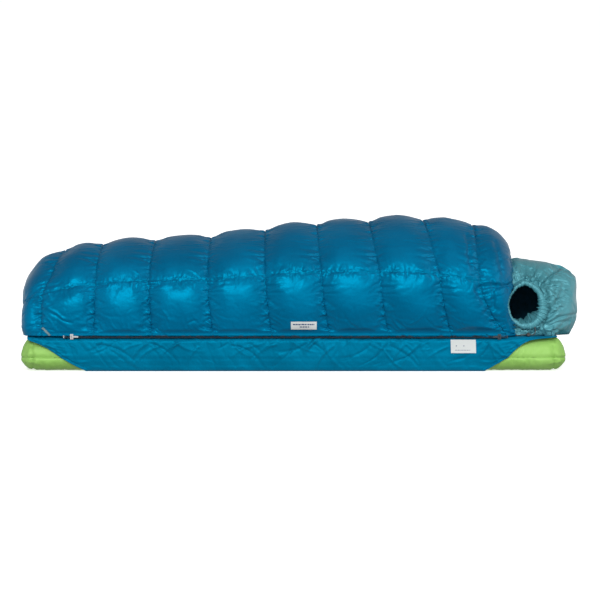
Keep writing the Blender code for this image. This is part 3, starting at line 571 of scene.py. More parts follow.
def braid(name, colour, crest_colour):
    made, tree, shader = new_material(name, 0.8, sheen_weight=0.3)
    coordinates = node(tree, "ShaderNodeTexCoord")
    heights = []
    for tilt in (0.9, -0.9):
        mapping = node(tree, "ShaderNodeMapping")
        mapping.inputs["Rotation"].default_value = (tilt, tilt, tilt)
        tree.links.new(coordinates.outputs["Object"], mapping.inputs["Vector"])
        wave = node(tree, "ShaderNodeTexWave", Scale=60.0, Distortion=0.4)
        tree.links.new(mapping.outputs["Vector"], wave.inputs["Vector"])
        heights.append(wave.outputs["Fac"])
    height = math_node(tree, "MAXIMUM", *heights)
    # The colour is darker in the grooves between the strands and lighter on their crests.
    tree.links.new(mixed(tree, height, tinted(colour, 0.5), crest_colour), shader.inputs["Base Color"])
    bumped(tree, shader, height, 0.6, 0.0006)
    return made


BLUE_TINT, TEAL_TINT = (0.0, 0.62, 1.0), (0.35, 0.88, 1.0)
GREEN_TINT, NO_TINT = (0.70, 1.0, 0.45), (1.0, 1.0, 1.0)
blue_shell = fabric("blue_shell_satin", ((0.0, 0.080, 0.175), (0.0, 0.095, 0.205),
                                         (0.0, 0.115, 0.240)),
                    0.36, BLUE_TINT, 0.85, crinkle=0.6, seams=True)
sleeve_fabric = fabric("sleeve_taffeta", ((0.0, 0.098, 0.190), (0.0, 0.122, 0.230),
                                          (0.0, 0.148, 0.275)),
                       0.44, BLUE_TINT, 0.60, crinkle=0.8)
teal_shell = fabric("teal_hood_satin", ((0.045, 0.195, 0.232), (0.066, 0.240, 0.282),
                                        (0.090, 0.290, 0.338)),
                    0.36, TEAL_TINT, 0.90, crinkle=0.6, seams=True)
lining_fabric = fabric("lining_taffeta", ((0.010, 0.045, 0.080), (0.014, 0.060, 0.105),
                                          (0.022, 0.078, 0.130)),
                       0.55, BLUE_TINT, 0.4)
pad_fabric = fabric("green_pad_polyester", ((0.205, 0.410, 0.080), (0.245, 0.470, 0.105),
                                            (0.290, 0.520, 0.135)),
                    0.44, GREEN_TINT, 0.5, pitch=0.0009, crinkle=0.4)
tape_fabric = fabric("zip_tape_weave", ((0.004, 0.020, 0.040), (0.006, 0.030, 0.055),
                                        (0.010, 0.040, 0.070)),
                     0.75, BLUE_TINT, 0.3, pitch=0.0012, crinkle=0.1)
label_fabric = fabric("label_satin_weave", ((0.50, 0.53, 0.525), (0.55, 0.58, 0.575),
                                            (0.60, 0.63, 0.625)),
                      0.6, NO_TINT, 0.3, pitch=0.0005, crinkle=0.15)
webbing_fabric = fabric("grey_webbing", ((0.09, 0.16, 0.18), (0.13, 0.21, 0.23),
                                         (0.19, 0.28, 0.30)),
                        0.7, NO_TINT, 0.3, pitch=0.0016, crinkle=0.1)
coil_plastic = plastic("zip_coil_nylon", (0.003, 0.014, 0.026), 0.75)
black_plastic = plastic("black_moulded_plastic", (0.018, 0.018, 0.020), 0.42)
print_ink = plastic("label_print", (0.02, 0.05, 0.14), 0.6)
slider_metal = metal("slider_metal", (0.42, 0.42, 0.43), 0.45)
dark_metal = metal("blackened_metal", (0.05, 0.06, 0.07), 0.42)
spring_metal = metal("spring_steel", (0.48, 0.48, 0.50), 0.28)
cord_braid = braid("black_cord_braid", (0.012, 0.012, 0.014), (0.05, 0.05, 0.055))


def paint(obj, material):
    obj.data.materials.clear()
    obj.data.materials.append(material)


def bevelled(names, width, material):
    """Solids of the frame that are shown as they are, with their edges eased."""
    for name in names:
        edge = nodes[name].modifiers.new("edge", "BEVEL")
        edge.width, edge.segments, edge.limit_method = width, 2, "ANGLE"
        paint(nodes[name], material)


def blend_lift(obj, half):
    """Bakes the transform of a piece's foot or head half into its mesh, both halves alike."""
    if half == "foot":
        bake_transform(obj)
    else:
        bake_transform(obj)


def dressed(obj, material, body, stands_for=()):
    """Gives a piece its material and body ("foot" or "head" for a half, whose transform is baked)
    and hides the nodes that it stands for."""
    paint(obj, material)
    if stands_for:
        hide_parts(*stands_for)
    if body in ("foot", "head"):
        blend_lift(obj, body)
    else:
        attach(obj, body)
    return obj


def halves(points):
    """The rows of a grid along X that belong to its foot half and its head half."""
    middle = int(np.argmin(np.abs(points[:, points.shape[1] // 2, 0])))
    return ("foot", slice(0, middle + 1)), ("head", slice(middle, None))


# Camera, then the cord

def build_camera():
    camera = bpy.data.objects.new("camera", bpy.data.cameras.new("camera"))
    scene.collection.objects.link(camera)
    back = Vector((0.0, -math.cos(CAMERA_ELEVATION), math.sin(CAMERA_ELEVATION)))
    camera.location = Vector(VIEW_CENTRE) + back * CAMERA_DISTANCE
    camera.rotation_euler = (-back).to_track_quat("-Z", "Y").to_euler()
    camera.data.sensor_width = 36.0
    camera.data.lens = 36.0 * CAMERA_DISTANCE / VIEW_WIDTH
    camera.data.clip_end = 100.0
    scene.camera = camera


def smooth_route(points, per_span):
    """Points of a smooth curve that passes through the route's own points."""
    ends = [points[0], *points, points[-1]]
    found = []
    for p0, p1, p2, p3 in zip(ends, ends[1:], ends[2:], ends[3:]):
        p0, p1, p2, p3 = Vector(p0), Vector(p1), Vector(p2), Vector(p3)
        for step in range(per_span):
            s = step / per_span
            found.append(0.5 * (2 * p1 + (p2 - p0) * s + (2 * p0 - 5 * p1 + 4 * p2 - p3) * s * s
                                + (3 * p1 - p0 - 3 * p2 + p3) * s ** 3))
    return found + [Vector(points[-1])]


def curve_tube(name, points, radius, material, cyclic=False):
    data = bpy.data.curves.new(name, "CURVE")
    data.dimensions = "3D"
    data.bevel_depth = radius
    data.bevel_resolution = 4
    data.use_fill_caps = not cyclic
    spline = data.splines.new("POLY")
    spline.points.add(len(points) - 1)
    for point, place in zip(spline.points, points):
        point.co = (*place, 1.0)
    spline.use_cyclic_u = cyclic
    spline.use_smooth = True
    obj = bpy.data.objects.new(name, data)
    scene.collection.objects.link(obj)
    data.materials.append(material)
    return obj


def build_cord():
    """The free tail of the drawcord, its knot and its sprung lock."""
    route = smooth_route(CORD_ROUTE, 4)
    cord = curve_tube("drawcord_tail", route, CORD_DIAMETER / 2, cord_braid)
    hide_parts("drawcord")
    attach(cord, "sleeve_base")

    low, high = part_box("drawcord_knot")
    centre, size = (low + high) / 2, (high - low).x / 2
    turns = np.linspace(0, 2 * math.pi, 73)[:-1]
    loop = [centre + Vector(((0.5 + 0.32 * math.cos(3 * t)) * math.cos(2 * t),
                             (0.5 + 0.32 * math.cos(3 * t)) * math.sin(2 * t),
                             0.42 * math.sin(3 * t))) * size for t in turns]
    knot = curve_tube("drawcord_end_knot", loop, 0.36 * size, cord_braid, cyclic=True)
    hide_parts("drawcord_knot")
    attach(knot, "sleeve_base")

    barrel, plunger, spring = (nodes[n] for n in ("cord_lock_barrel", "cord_lock_plunger",
                                                  "cord_lock_spring"))
    bevelled(("cord_lock_barrel", "cord_lock_plunger"), 0.0005, black_plastic)
    paint(spring, spring_metal)


# The quilted bag

def cross_seams():
    """Each cross seam as (crest, side seam, base) row coordinates, from the foot to the neck."""
    crests = [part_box("top_shell")[0].x]
    for number in range(1, 7):
        crests.append((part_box(f"chamber_down_{number}")[1].x
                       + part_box(f"chamber_down_{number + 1}")[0].x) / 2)
    crests.append(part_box("top_shell")[1].x)
    seams = [FOOT_SEAM]
    for crest, mid, base in zip(crests, SEAM_MID_SLANT, SEAM_BASE_SLANT):
        seams.append((crest, crest + mid, crest + base))
    return seams + [NECK_SEAM]


def quilt_layout():
    """The bag's smooth outer surface as a grid whose rows and columns run along the seams.

    Returns the points, the rows of the cross seams and the columns of the two long seams.
    """
    tree = tree_of("footbox_shell", "top_shell", "shoulder_shell")
    neck_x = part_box("shoulder_shell")[1].x
    xs = np.arange(CAP_X, neck_x - 0.002, 0.006) + 0.0007
    places, dense = lofted(tree, xs, CAP_X, CAP_REACH, -1)
    side, crown = 36, 112
    shares = np.interp(places, *zip(*LONG_SEAM_HEIGHT))
    stops = np.array([seam_places(ring, share) for ring, share in zip(dense, shares)])
    stops = gaussian(stops, 4.0, 0)
    surface = np.array([spread(ring, (side, crown, side), (0.0, near, far, 1.0))
                        for ring, (near, far) in zip(dense, stops)])
    beyond = places[-1] + np.arange(1, 4) * 0.006
    slope = surface[-1] - surface[-2]
    surface = np.concatenate([surface, [surface[-1] + slope * k for k in range(1, 4)]])
    surface = gaussian(surface, 2.0, 1)
    places = np.concatenate([places, beyond])

    columns = surface.shape[1]
    across = np.abs(np.arange(columns) - side - crown / 2)
    share = np.where(across <= crown / 2, across / (crown / 2),
                     1 + (across - crown / 2) / side)
    lines = []
    for crest, mid, base in cross_seams():
        upper = crest + (mid - crest) * share ** 1.8
        lower = mid + (base - mid) * np.clip(share - 1, 0, 1) ** 1.4
        lines.append(np.where(share <= 1, upper, lower))
    pole = np.full(columns, places[0])
    wanted, seam_rows = [pole], []
    for before, after in zip([pole, *lines], lines):
        width = np.abs(after - before).max() if seam_rows else FOOT_END_LENGTH
        steps = max(4, round(width / GRID / 2) * 2)
        wanted += [before + (after - before) * step / steps for step in range(1, steps + 1)]
        seam_rows.append(len(wanted) - 1)
    return at_rows(places, surface, np.array(wanted)), seam_rows, [side, side + crown]


def lengths(points):
    """Running lengths along rows and along columns of a grid."""
    along = np.linalg.norm(np.diff(points, axis=0), axis=-1)
    around = np.linalg.norm(np.diff(points, axis=1), axis=-1)
    along = np.concatenate([np.zeros((1, points.shape[1])), np.cumsum(along, axis=0)])
    around = np.concatenate([np.zeros((points.shape[0], 1)), np.cumsum(around, axis=1)], axis=1)
    return along, around


def seam_distance(run, lines, axis):
    """The signed distance from each point to the nearest of some rows or columns."""
    moved = np.moveaxis(run, axis, 0)
    gaps = np.array([moved - moved[line] for line in lines])
    nearest = np.abs(gaps).argmin(axis=0)
    return np.moveaxis(np.take_along_axis(gaps, nearest[None], axis=0)[0], 0, axis)


def puffed(distance, width):
    """0 on a seam, rising to 1 at a distance of width."""
    return 1 - (1 - np.clip(np.abs(distance) / width, 0, 1)) ** 2.3


def folded(values):
    """Noise turned in to rounded ridges with sharp valleys between them, about level on average."""
    return 2.2 * np.abs(values) - 0.75


def pucker_height(gap, along, reach, pitch, rise, seed):
    """Short sharp gathers on both sides of a seam, square to it or nearly,
    some long, some short."""
    distance, side = np.abs(gap), np.where(gap < 0, 0.0, 0.6)
    here = plane(along, side)
    run = along + 0.6 * noise(plane(along, side), (0.09, 0.01, 1), seed + 5) * distance
    run = run + 0.2 * pitch * noise(plane(along, distance + side), (0.03, 0.02, 1), seed + 7)
    fine = folded(noise(plane(run, 0.4 * distance + side), (0.75 * pitch, 0.02, 1), seed))
    broad = folded(noise(plane(run, 0.4 * distance + side), (1.8 * pitch, 0.04, 1), seed + 1))
    uneven = 0.80 + 0.5 * noise(here, (0.07, 0.1, 1), seed + 2)
    length = reach * (1.0 + 0.7 * noise(here, (0.014, 0.1, 1), seed + 3))
    envelope = (1 - np.exp(-distance / 0.0022)) * np.exp(-distance / length)
    return rise * envelope * uneven * (0.8 * fine + 0.6 * broad)


def bag_surface():
    """The puffed and gathered outer surface of the bag, with what its pieces need."""
    points, seam_rows, seam_columns = quilt_layout()
    rows, columns = points.shape[:2]
    along, around = lengths(points)
    cross = seam_distance(along, seam_rows, 0)
    level = seam_distance(around, seam_columns, 1)
    base = np.minimum(around, around[:, -1:] - around)
    outward = normals_of(points)
    x, z = points[..., 0], points[..., 2]
    rise = (z - z[:, :1]) / (z.max(axis=1, keepdims=True) - z[:, :1])
    shallow = 1 - 0.25 * smooth_step((rise - 0.70) / 0.25)
    depth = CROSS_SEAM_DEPTH * (1 - puffed(cross, 0.085)) * shallow
    depth += LONG_SEAM_DEPTH * (1 - puffed(level, 0.06)) * puffed(cross, 0.05)
    share = (0.15 + 0.40 * smooth_step((x + 0.78) / 0.20) + 0.45 * smooth_step((x + 0.5) / 0.5)
             - 0.40 * smooth_step((x - 0.55) / 0.10))
    depth -= CORNER * share * np.exp(-np.abs(level) / 0.09)
    depth -= 0.003 * puffed(base, 0.09) * puffed(cross, 0.085)
    depth -= SHOULDER_PUSH * smooth_step((x - 0.50) / 0.14) * smooth_step((0.725 - x) / 0.03)
    depth -= FOOT_PUSH * smooth_step((-0.80 - x) / 0.08)
    depth -= 0.010 * smooth_step((-0.70 - x) / 0.08) * smooth_step((z - 0.32) / 0.06)
    depth = depth * smooth_step(base / 0.03)
    start = points - outward * depth[..., None]
    pins = np.zeros((rows, columns), bool)
    pins[seam_rows] = True
    pins[:, seam_columns] = True
    pins[:, [0, -1]] = True
    pins[:2] = True
    moved = simulate(start.reshape(-1, 3), grid_faces(rows, columns), pins.ravel(),
                     pressure=3.0, growth=0.025, frames=14, most=0.010)
    step = moved.reshape(points.shape) - start
    calm = gaussian(gaussian(step, 3.0, 0), 3.0, 1)
    wrinkled = np.exp(-np.minimum(np.abs(cross), np.abs(level)) / 0.018)[..., None]
    return start + calm + (step - calm) * wrinkled, seam_rows, seam_columns


def build_bag():
    points, seam_rows, seam_columns = bag_surface()
    points = finer(points)
    seam_rows, seam_columns = [2 * r for r in seam_rows], [2 * c for c in seam_columns]
    along, around = lengths(points)
    cross = seam_distance(along, seam_rows, 0)
    level = seam_distance(around, seam_columns, 1)
    base = np.minimum(around, around[:, -1:] - around)
    outward = normals_of(points)
    x, z = points[..., 0], points[..., 2]
    near = points[..., 1] < 0
    height = pucker_height(cross, around, 0.017, 0.010, 0.0060, 11)
    height += pucker_height(cross, around, 0.045, 0.022, 0.0034, 13)
    height += pucker_height(level, along, 0.014, 0.011, 0.0030, 21)
    height += pucker_height(level, along, 0.030, 0.022, 0.0016, 23)
    height += pucker_height(base, along, 0.030, 0.013, 0.0042, 31)
    lumps = noise(points, 0.085, 41) + 0.5 * noise(points, 0.042, 42)
    height += 0.0024 * lumps * puffed(np.minimum(np.abs(cross), np.abs(level)), 0.05)
    rng = np.random.default_rng(5)
    marks = []
    for row in seam_rows:
        for column in seam_columns:
            for _ in range(3):
                marks.append((along[row, column], around[row, column],
                              rng.uniform(0, 2 * math.pi), rng.uniform(0.03, 0.09),
                              rng.uniform(0.002, 0.004), rng.uniform(-0.0022, 0.0018)))
    for _ in range(BASE_CREASES):
        heading = math.radians(rng.choice([-1, 1]) * rng.uniform(20, 80) + 90)
        marks.append((rng.uniform(0, along.max()), rng.uniform(-0.01, 0.06), heading,
                      rng.uniform(0.04, 0.12), rng.uniform(0.0025, 0.0050),
                      rng.uniform(-0.0030, 0.0030)))
    height += creases(along, around, marks)
    for line, width, deep in SHOULDER_FOLDS:
        gap, place = line_distance(x, z, line)
        uneven = 0.65 + 0.75 * noise(plane(place, 0 * place), (0.03, 1, 1), 46)
        height -= deep * uneven * np.exp(-((gap / (width * (1 + 0.5 * uneven))) ** 2)) * near
        height += pucker_height(gap, place, 0.014, 0.011, 0.0034, 47) * near
    height *= smooth_step(base / 0.004)
    height += OVERHANG * smooth_step(base / 0.0022) * np.exp(-((base / 0.035) ** 2))
    points = points + outward * height[..., None]
    path_top, path_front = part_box("foot_slider")[1].z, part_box("upper_zip_coil")[0].y
    farthest = path_front - 0.06 * smooth_step((points[..., 2] - path_top - 0.0015) / 0.055)
    points[..., 1] = np.maximum(points[..., 1], farthest)
    # Painted shade along the seam valleys, uneven along them, which blue_shell reads from the seam
    # attribute.
    seam_shade_base = 0.6 + 0.4 * noise(plane(along, around), (0.012, 0.012, 1), 45)
    painted_seam_shade = seam_shade_base * np.exp(-(np.minimum(np.abs(cross), np.abs(level)) / 0.0024) ** 2)

    kept = ~((face_distance(points) < 1.0) & (points[..., 1] < -0.1))
    curl = curled_neck(points)
    stands_for = {"foot": ["footbox_shell", "footbox_down", "top_shell",
                           *[f"chamber_down_{n}" for n in range(1, 5)]],
                  "head": ["shoulder_shell", "shoulder_down",
                           *[f"chamber_down_{n}" for n in range(5, 8)]]}
    for half, rows in halves(points):
        part, keep, seam = points[rows], kept[rows], painted_seam_shade[rows]
        if half == "head":
            part = np.concatenate([part, curl])
            keep = np.concatenate([keep, np.repeat(keep[-1:], len(curl), axis=0)])
            seam = np.concatenate([seam, np.zeros(curl.shape[:2])])
        shell = grid_object(f"bag_shell_{half}", part, keep=keep, seam=seam)
        dressed(shell, blue_shell, half, stands_for[half])
    build_neck_wall(points)
    return points


def build_neck_wall(points):
    """The cloth that turns in from the bag's cut edge to the face rim."""
    centre, half_x, half_z, radius = face_frame()
    near = points[points[..., 1] < -0.1]
    out = face_distance(near)
    beside = (out > 0.94) & (out < 1.3)
    near, out = near[beside], out[beside]
    place = np.arctan2((near[:, 2] - centre.z) / half_z, (centre.x - near[:, 0]) / half_x)
    turns, depths = [], []
    for turn in np.radians(np.arange(-110, 111, 2.0)):
        miss = np.abs(place - turn) / math.radians(4) + np.abs(out - 1.06) / 0.05
        if miss.min() < 1.5:
            turns.append(turn)
            depths.append(near[np.argmin(miss), 1])
    turns, depths = np.array(turns), np.array(depths)
    for _ in range(6):
        depths[1:-1] = (depths[:-2] + 2 * depths[1:-1] + depths[2:]) / 4
    t, share = np.meshgrid(turns, np.linspace(0, 1, 14), indexing="ij")
    wide = 1.07 - 0.06 * smooth_step(share / 0.35)
    rim_y = centre.y + 0.3 * radius
    ring = np.stack([np.cos(t), np.sin(t), share * 0.3], axis=-1)
    fold = 0.022 * folded(noise(ring, (0.12, 0.12, 0.4), 110)) * np.sin(math.pi * share)
    y = depths[:, None] + 0.003 + (rim_y - depths[:, None]) * share
    wall = np.stack([centre.x - half_x * (wide + fold) * np.cos(t), y,
                     centre.z + half_z * (wide + fold) * np.sin(t)], axis=-1)
    dressed(grid_object("neck_wall", wall, seam=0.0), blue_shell, "sleeve_base")


def turned_in(ring):
    """The way in from each point of a ring across X, fading to none at its two base ends."""
    inward = np.stack([0 * ring[:, 0], -ring[:, 1], ring[0, 2] + 0.06 - ring[:, 2]], axis=-1)
    inward /= np.linalg.norm(inward, axis=-1, keepdims=True)
    return inward * smooth_step((ring[:, 2] - ring[0, 2]) / 0.03)[:, None]


def curled_neck(points):
    """Rows that roll the bag's neck edge in to the hood."""
    edge = points[-1]
    forward = edge - points[-3]
    forward /= np.linalg.norm(forward, axis=-1, keepdims=True)
    inward = turned_in(edge)
    return np.array([edge + LIP_RADIUS * (math.sin(turn) * forward + (1 - math.cos(turn)) * inward)
                     for turn in np.radians(np.arange(15, 181, 15))])


def build_linings():
    """The bag's lining, with the turned hem that joins it to the shell along both base edges."""
    points, seam_rows, seam_columns = quilt_layout()
    points = points[::2, ::2]
    outward = normals_of(gaussian(points, 2, 0))
    along, around = lengths(points)
    cross = seam_distance(along, [row // 2 for row in seam_rows], 0)
    level = seam_distance(around, [column // 2 for column in seam_columns], 1)
    puff = puffed(cross, 0.07) * puffed(level, 0.07)
    depth = LINING_DEPTH - 0.006 + 0.009 * puff
    depth += 0.002 * noise(points, 0.05, 61) + pucker_height(cross, around, 0.03, 0.016, 0.004, 62)
    inner = points - outward * depth[..., None]
    base_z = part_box("top_shell")[0].z
    inner[..., 2] = np.maximum(inner[..., 2], base_z + 0.0005)
    inner[:, 0, 2] = inner[:, -1, 2] = base_z
    hem_near, hem_far = [], []
    for share in (0.02, 0.3, 0.65):
        bow = 0.0012 * math.sin(math.pi * share)
        for hem, edge, skin in ((hem_near, points[:, 0], inner[:, 0]),
                                (hem_far, points[:, -1], inner[:, -1])):
            row = edge + (skin - edge) * share
            row[:, 2] = base_z + bow
            hem.append(row)
    grid = np.stack([*hem_near, *inner.transpose(1, 0, 2), *hem_far[::-1]], axis=1)
    seam = np.zeros(grid.shape[:2])
    seam[:, 3:-3] = np.exp(-(np.minimum(np.abs(cross), np.abs(level)) / 0.003) ** 2)
    kept = ~((face_distance(grid) < 1.12) & (grid[..., 1] < -0.08) & (grid[..., 0] > 0.66))
    stands_for = {"foot": ("footbox_lining", "top_lining"), "head": ("shoulder_lining",)}
    for half, rows in halves(grid):
        lining = grid_object(f"bag_lining_{half}", grid[rows], keep=kept[rows], flip=True,
                             seam=seam[rows])
        dressed(lining, lining_fabric, half, stands_for[half])


def build_draft_tube():
    """The stuffed tube that backs the zip inside, gathered along its stitching."""
    low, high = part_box("draft_tube")
    radius = (high.z - low.z) / 2
    centre_y, centre_z = (low.y + high.y) / 2, (low.z + high.z) / 2
    count, around = 260, 20
    u, v = np.meshgrid(np.linspace(low.x, high.x, count),
                       np.linspace(0, 2 * math.pi, around, endpoint=False), indexing="ij")
    ends = np.minimum(u - low.x, high.x - u)
    size = radius * (0.15 + 0.85 * np.sqrt(np.clip(ends / 0.012, 0, 1)))
    size = size * (0.93 + 0.07 * noise(plane(u, np.cos(v)), (0.012, 0.9, 1), 71))
    points = np.stack([u, centre_y + size * np.cos(v), centre_z + size * np.sin(v)], axis=-1)
    middle = count // 2
    for half, rows, stands_for in (("foot", slice(0, middle + 1), ["draft_tube"]),
                                   ("head", slice(middle, None), [])):
        tube = grid_object(f"draft_tube_{half}", points[rows], wrap=True)
        dressed(tube, lining_fabric, half, stands_for)


# The hood

def hood_layout(row_count, columns):
    """The hood's smooth outer surface, from the neck to the middle of the foot of its end wall."""
    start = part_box("hood_shell")[0].x
    xs = np.arange(start + 0.001, HOOD_CAP_X - 0.002, 0.006)
    places, dense = lofted(tree_of("hood_shell"), xs, HOOD_CAP_X, HOOD_CAP_REACH, 1)
    surface = np.array([spread(ring, (columns,), (0.0, 1.0)) for ring in dense])
    rows = np.linspace(places[0], places[-1], row_count)
    return at_rows(places, surface, np.repeat(rows[:, None], columns + 1, axis=1))


def tucked(points):
    """Rows that carry the hood's cloth back under the bag's neck edge."""
    first = points[0]
    inward = turned_in(first)
    rows = [first + np.array([-HOOD_TUCK * share, 0, 0]) + inward * TUCK_DEPTH * share ** 1.6
            for share in np.linspace(1, 0, TUCK_ROWS, endpoint=False)]
    return np.concatenate([rows, points])


def segment_distance(x, z, start, end):
    """Distance from a line segment in the XZ plane, and the place along it."""
    (x0, z0), (x1, z1) = start, end
    length = math.hypot(x1 - x0, z1 - z0)
    along = ((x - x0) * (x1 - x0) + (z - z0) * (z1 - z0)) / length
    held = np.clip(along, 0, length)
    return np.hypot(x - x0 - held * (x1 - x0) / length, z - z0 - held * (z1 - z0) / length), along


def line_distance(x, z, line):
    """Distance from a polyline in the XZ plane, and the running place along it."""
    best, place, before = np.full(x.shape, 1.0), np.zeros(x.shape), 0.0
    for start, end in zip(line, line[1:]):
        gap, along = segment_distance(x, z, start, end)
        place = np.where(gap < best, before + along, place)
        best = np.minimum(best, gap)
        before += math.dist(start, end)
    return best, place


def around_face(points):
    """Distance out from the rim's outer edge, and the running length round the opening."""
    centre, half_x, half_z, radius = face_frame()
    size = (half_x + half_z) / 2
    out = (face_distance(points) - 1) * size - radius
    turn = np.arctan2((points[..., 2] - centre.z) / half_z, (points[..., 0] - centre.x) / half_x)
    return np.where(points[..., 1] < 0, out, 1.0), turn * (size + radius)


def build_hood():
    points = hood_layout(76, 190)
    outward = normals_of(points)
    near = points[..., 1] < 0
    rim_gap, _ = around_face(points)
    seam_gap, _ = line_distance(points[..., 0], points[..., 2], HOOD_SEAM)
    seam_gap = np.where(near, seam_gap, 1.0)
    along, around = lengths(points)
    base = np.minimum(around, around[:, -1:] - around)
    depth = 0.008 * (1 - puffed(np.maximum(rim_gap, 0), 0.05)) - 0.003
    depth += 0.009 * (1 - puffed(seam_gap, 0.035)) + 0.004 * (1 - puffed(along, 0.04))
    x, z = points[..., 0], points[..., 2]
    push = HOOD_PUSH * smooth_step((z - 0.23) / 0.08) - 0.006 * np.exp(-((z - 0.185) / 0.035) ** 2)
    depth -= push * smooth_step((x - 0.85) / 0.06)
    depth *= smooth_step(base / 0.03)
    start = points - outward * depth[..., None]
    pins = (rim_gap < 0.004) | (seam_gap < 0.003)
    pins[:2] = pins[-2:] = True
    pins[:, [0, -1]] = True
    moved = simulate(start.reshape(-1, 3), grid_faces(*points.shape[:2]), pins.ravel(),
                     pressure=2.5, growth=0.05, frames=12, most=0.008)
    points = finer(moved.reshape(points.shape))

    outward = normals_of(points)
    x, z = points[..., 0], points[..., 2]
    near = points[..., 1] < 0
    rim_gap, rim_run = around_face(points)
    seam_gap, seam_run = line_distance(x, z, HOOD_SEAM)
    seam_gap = np.where(near, seam_gap, 1.0)
    along, around = lengths(points)
    base = np.minimum(around, around[:, -1:] - around)
    outer = np.maximum(rim_gap, 0.0)
    height = pucker_height(outer, rim_run, 0.030, 0.013, 0.0060, 81)
    height += pucker_height(outer, rim_run, 0.070, 0.030, 0.0030, 181)
    height += pucker_height(seam_gap, seam_run, 0.018, 0.010, 0.0040, 82)
    height += pucker_height(base, along, 0.022, 0.013, 0.0040, 83)
    height += pucker_height(along, around, 0.035, 0.013, 0.0040, 84)
    height += 0.0022 * noise(points, 0.07, 85)
    channel = np.abs(rim_gap - CHANNEL_WIDTH)
    right = smooth_step((x - face_frame()[0].x) / 0.04) * near
    height += 0.0030 * np.exp(-((rim_gap - 0.5 * CHANNEL_WIDTH) / 0.007) ** 2) * right
    height -= 0.0040 * np.exp(-(channel / 0.0026) ** 2) * right
    height += pucker_height(channel, rim_run, 0.010, 0.008, 0.0040, 87) * right
    reach = np.hypot(x - PLEAT_START[0], z - PLEAT_START[1])
    angle = np.arctan2(z - PLEAT_START[1], x - PLEAT_START[0])
    turned = angle + 0.10 * noise(plane(reach, angle), (0.04, 0.5, 1), 88)
    fan = (folded(noise(plane(turned, 0.4 * reach), (0.20, 0.05, 1), 89))
           + 0.5 * folded(noise(plane(turned, 0.4 * reach), (0.09, 0.05, 1), 90)))
    held = (smooth_step(reach / 0.020) * np.exp(-reach / 0.075)
            * smooth_step((1.3 - np.abs(angle)) / 0.5))
    height += PLEAT_RISE * fan * held * near
    rng = np.random.default_rng(12)
    marks = [(rng.uniform(0.76, 0.92), rng.uniform(0.14, 0.34), rng.uniform(0, 2 * math.pi),
              rng.uniform(0.03, 0.08), rng.uniform(0.002, 0.004), rng.uniform(-0.0020, 0.0020))
             for _ in range(26)]
    for number in range(PLEATS):
        heading = math.radians(-10 + 100 * number / (PLEATS - 1) + rng.uniform(-4, 4))
        start = (PLEAT_START[0] + 0.035 * math.cos(heading),
                 PLEAT_START[1] + 0.045 * math.sin(heading))
        reach_out = rng.uniform(0.09, 0.17)
        marks.append((*start, heading, reach_out,
                      rng.uniform(0.009, 0.013), rng.uniform(0.0060, 0.0100)))
        marks.append((*start, heading + 0.11, reach_out, rng.uniform(0.004, 0.006),
                      rng.uniform(-0.0090, -0.0060)))
    for start_x, start_z, heading, fold_length, width, rise in RIM_FOLDS:
        turn = math.radians(heading)
        marks.append((start_x, start_z, turn, fold_length, width, rise))
        beside = 1.5 * width
        marks.append((start_x - beside * math.sin(turn), start_z + beside * math.cos(turn),
                      turn + 0.04,
                      0.9 * fold_length, 0.55 * width, -0.75 * rise))
    height += creases(x, z, marks) * near
    height -= 0.0030 * np.exp(-((seam_gap / 0.0024) ** 2))
    height *= smooth_step(base / 0.004)
    points = points + outward * height[..., None]
    points[..., 0] -= HOOD_TOE * smooth_step((0.20 - z) / 0.09) * smooth_step((x - 0.83) / 0.06)
    points = tucked(points)
    keep = ~((face_distance(points) < 1.03) & (points[..., 1] < 0))
    # Painted shade along the hood seam and the rim's channel stitching, which teal_shell reads from
    # the seam attribute.
    seam_shade_base = np.minimum(seam_gap, np.where(right > 0.5, channel, 1))
    seam = np.concatenate([np.zeros((TUCK_ROWS, seam_shade_base.shape[1])),
                           np.exp(-(seam_shade_base / 0.0018) ** 2)])
    hood = grid_object("hood_shell_cloth", points, keep=keep, seam=seam)
    dressed(hood, teal_shell, "sleeve_base", ("hood_shell", "hood_down"))


def build_hood_lining():
    points = hood_layout(44, 90)
    outward = normals_of(gaussian(points, 2, 0))
    base_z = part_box("hood_shell")[0].z
    inner = points - outward * (LINING_DEPTH + 0.004 * noise(points, 0.04, 91)[..., None])
    inner[..., 2] = np.maximum(inner[..., 2], base_z + 0.0006)
    inner[..., 0] = np.minimum(inner[..., 0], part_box("hood_lining")[1].x)
    keep = ~((face_distance(inner) < 1.10) & (inner[..., 1] < -0.06))
    lining = grid_object("hood_lining_cloth", inner, keep=keep, flip=True, seam=0.0)
    dressed(lining, lining_fabric, "sleeve_base", ("hood_lining",))

    low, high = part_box("hood_floor")
    rows = points[:, [0, -1]]
    shares = np.linspace(0, 1, 50)[None, :, None]
    floor = rows[:, :1] + (rows[:, 1:] - rows[:, :1]) * shares
    floor[..., 2] = (low.z + high.z) / 2 + 0.00025 * noise(floor, 0.03, 92)
    floor[..., 0] = np.clip(floor[..., 0], low.x, high.x - HOOD_TOE)
    rows_kept = floor[:, 0, 0] <= high.x - HOOD_TOE - 1e-6
    panel = grid_object("hood_floor_cloth", floor[rows_kept], seam=0.0)
    dressed(panel, teal_shell, "sleeve_base", ("hood_floor",))


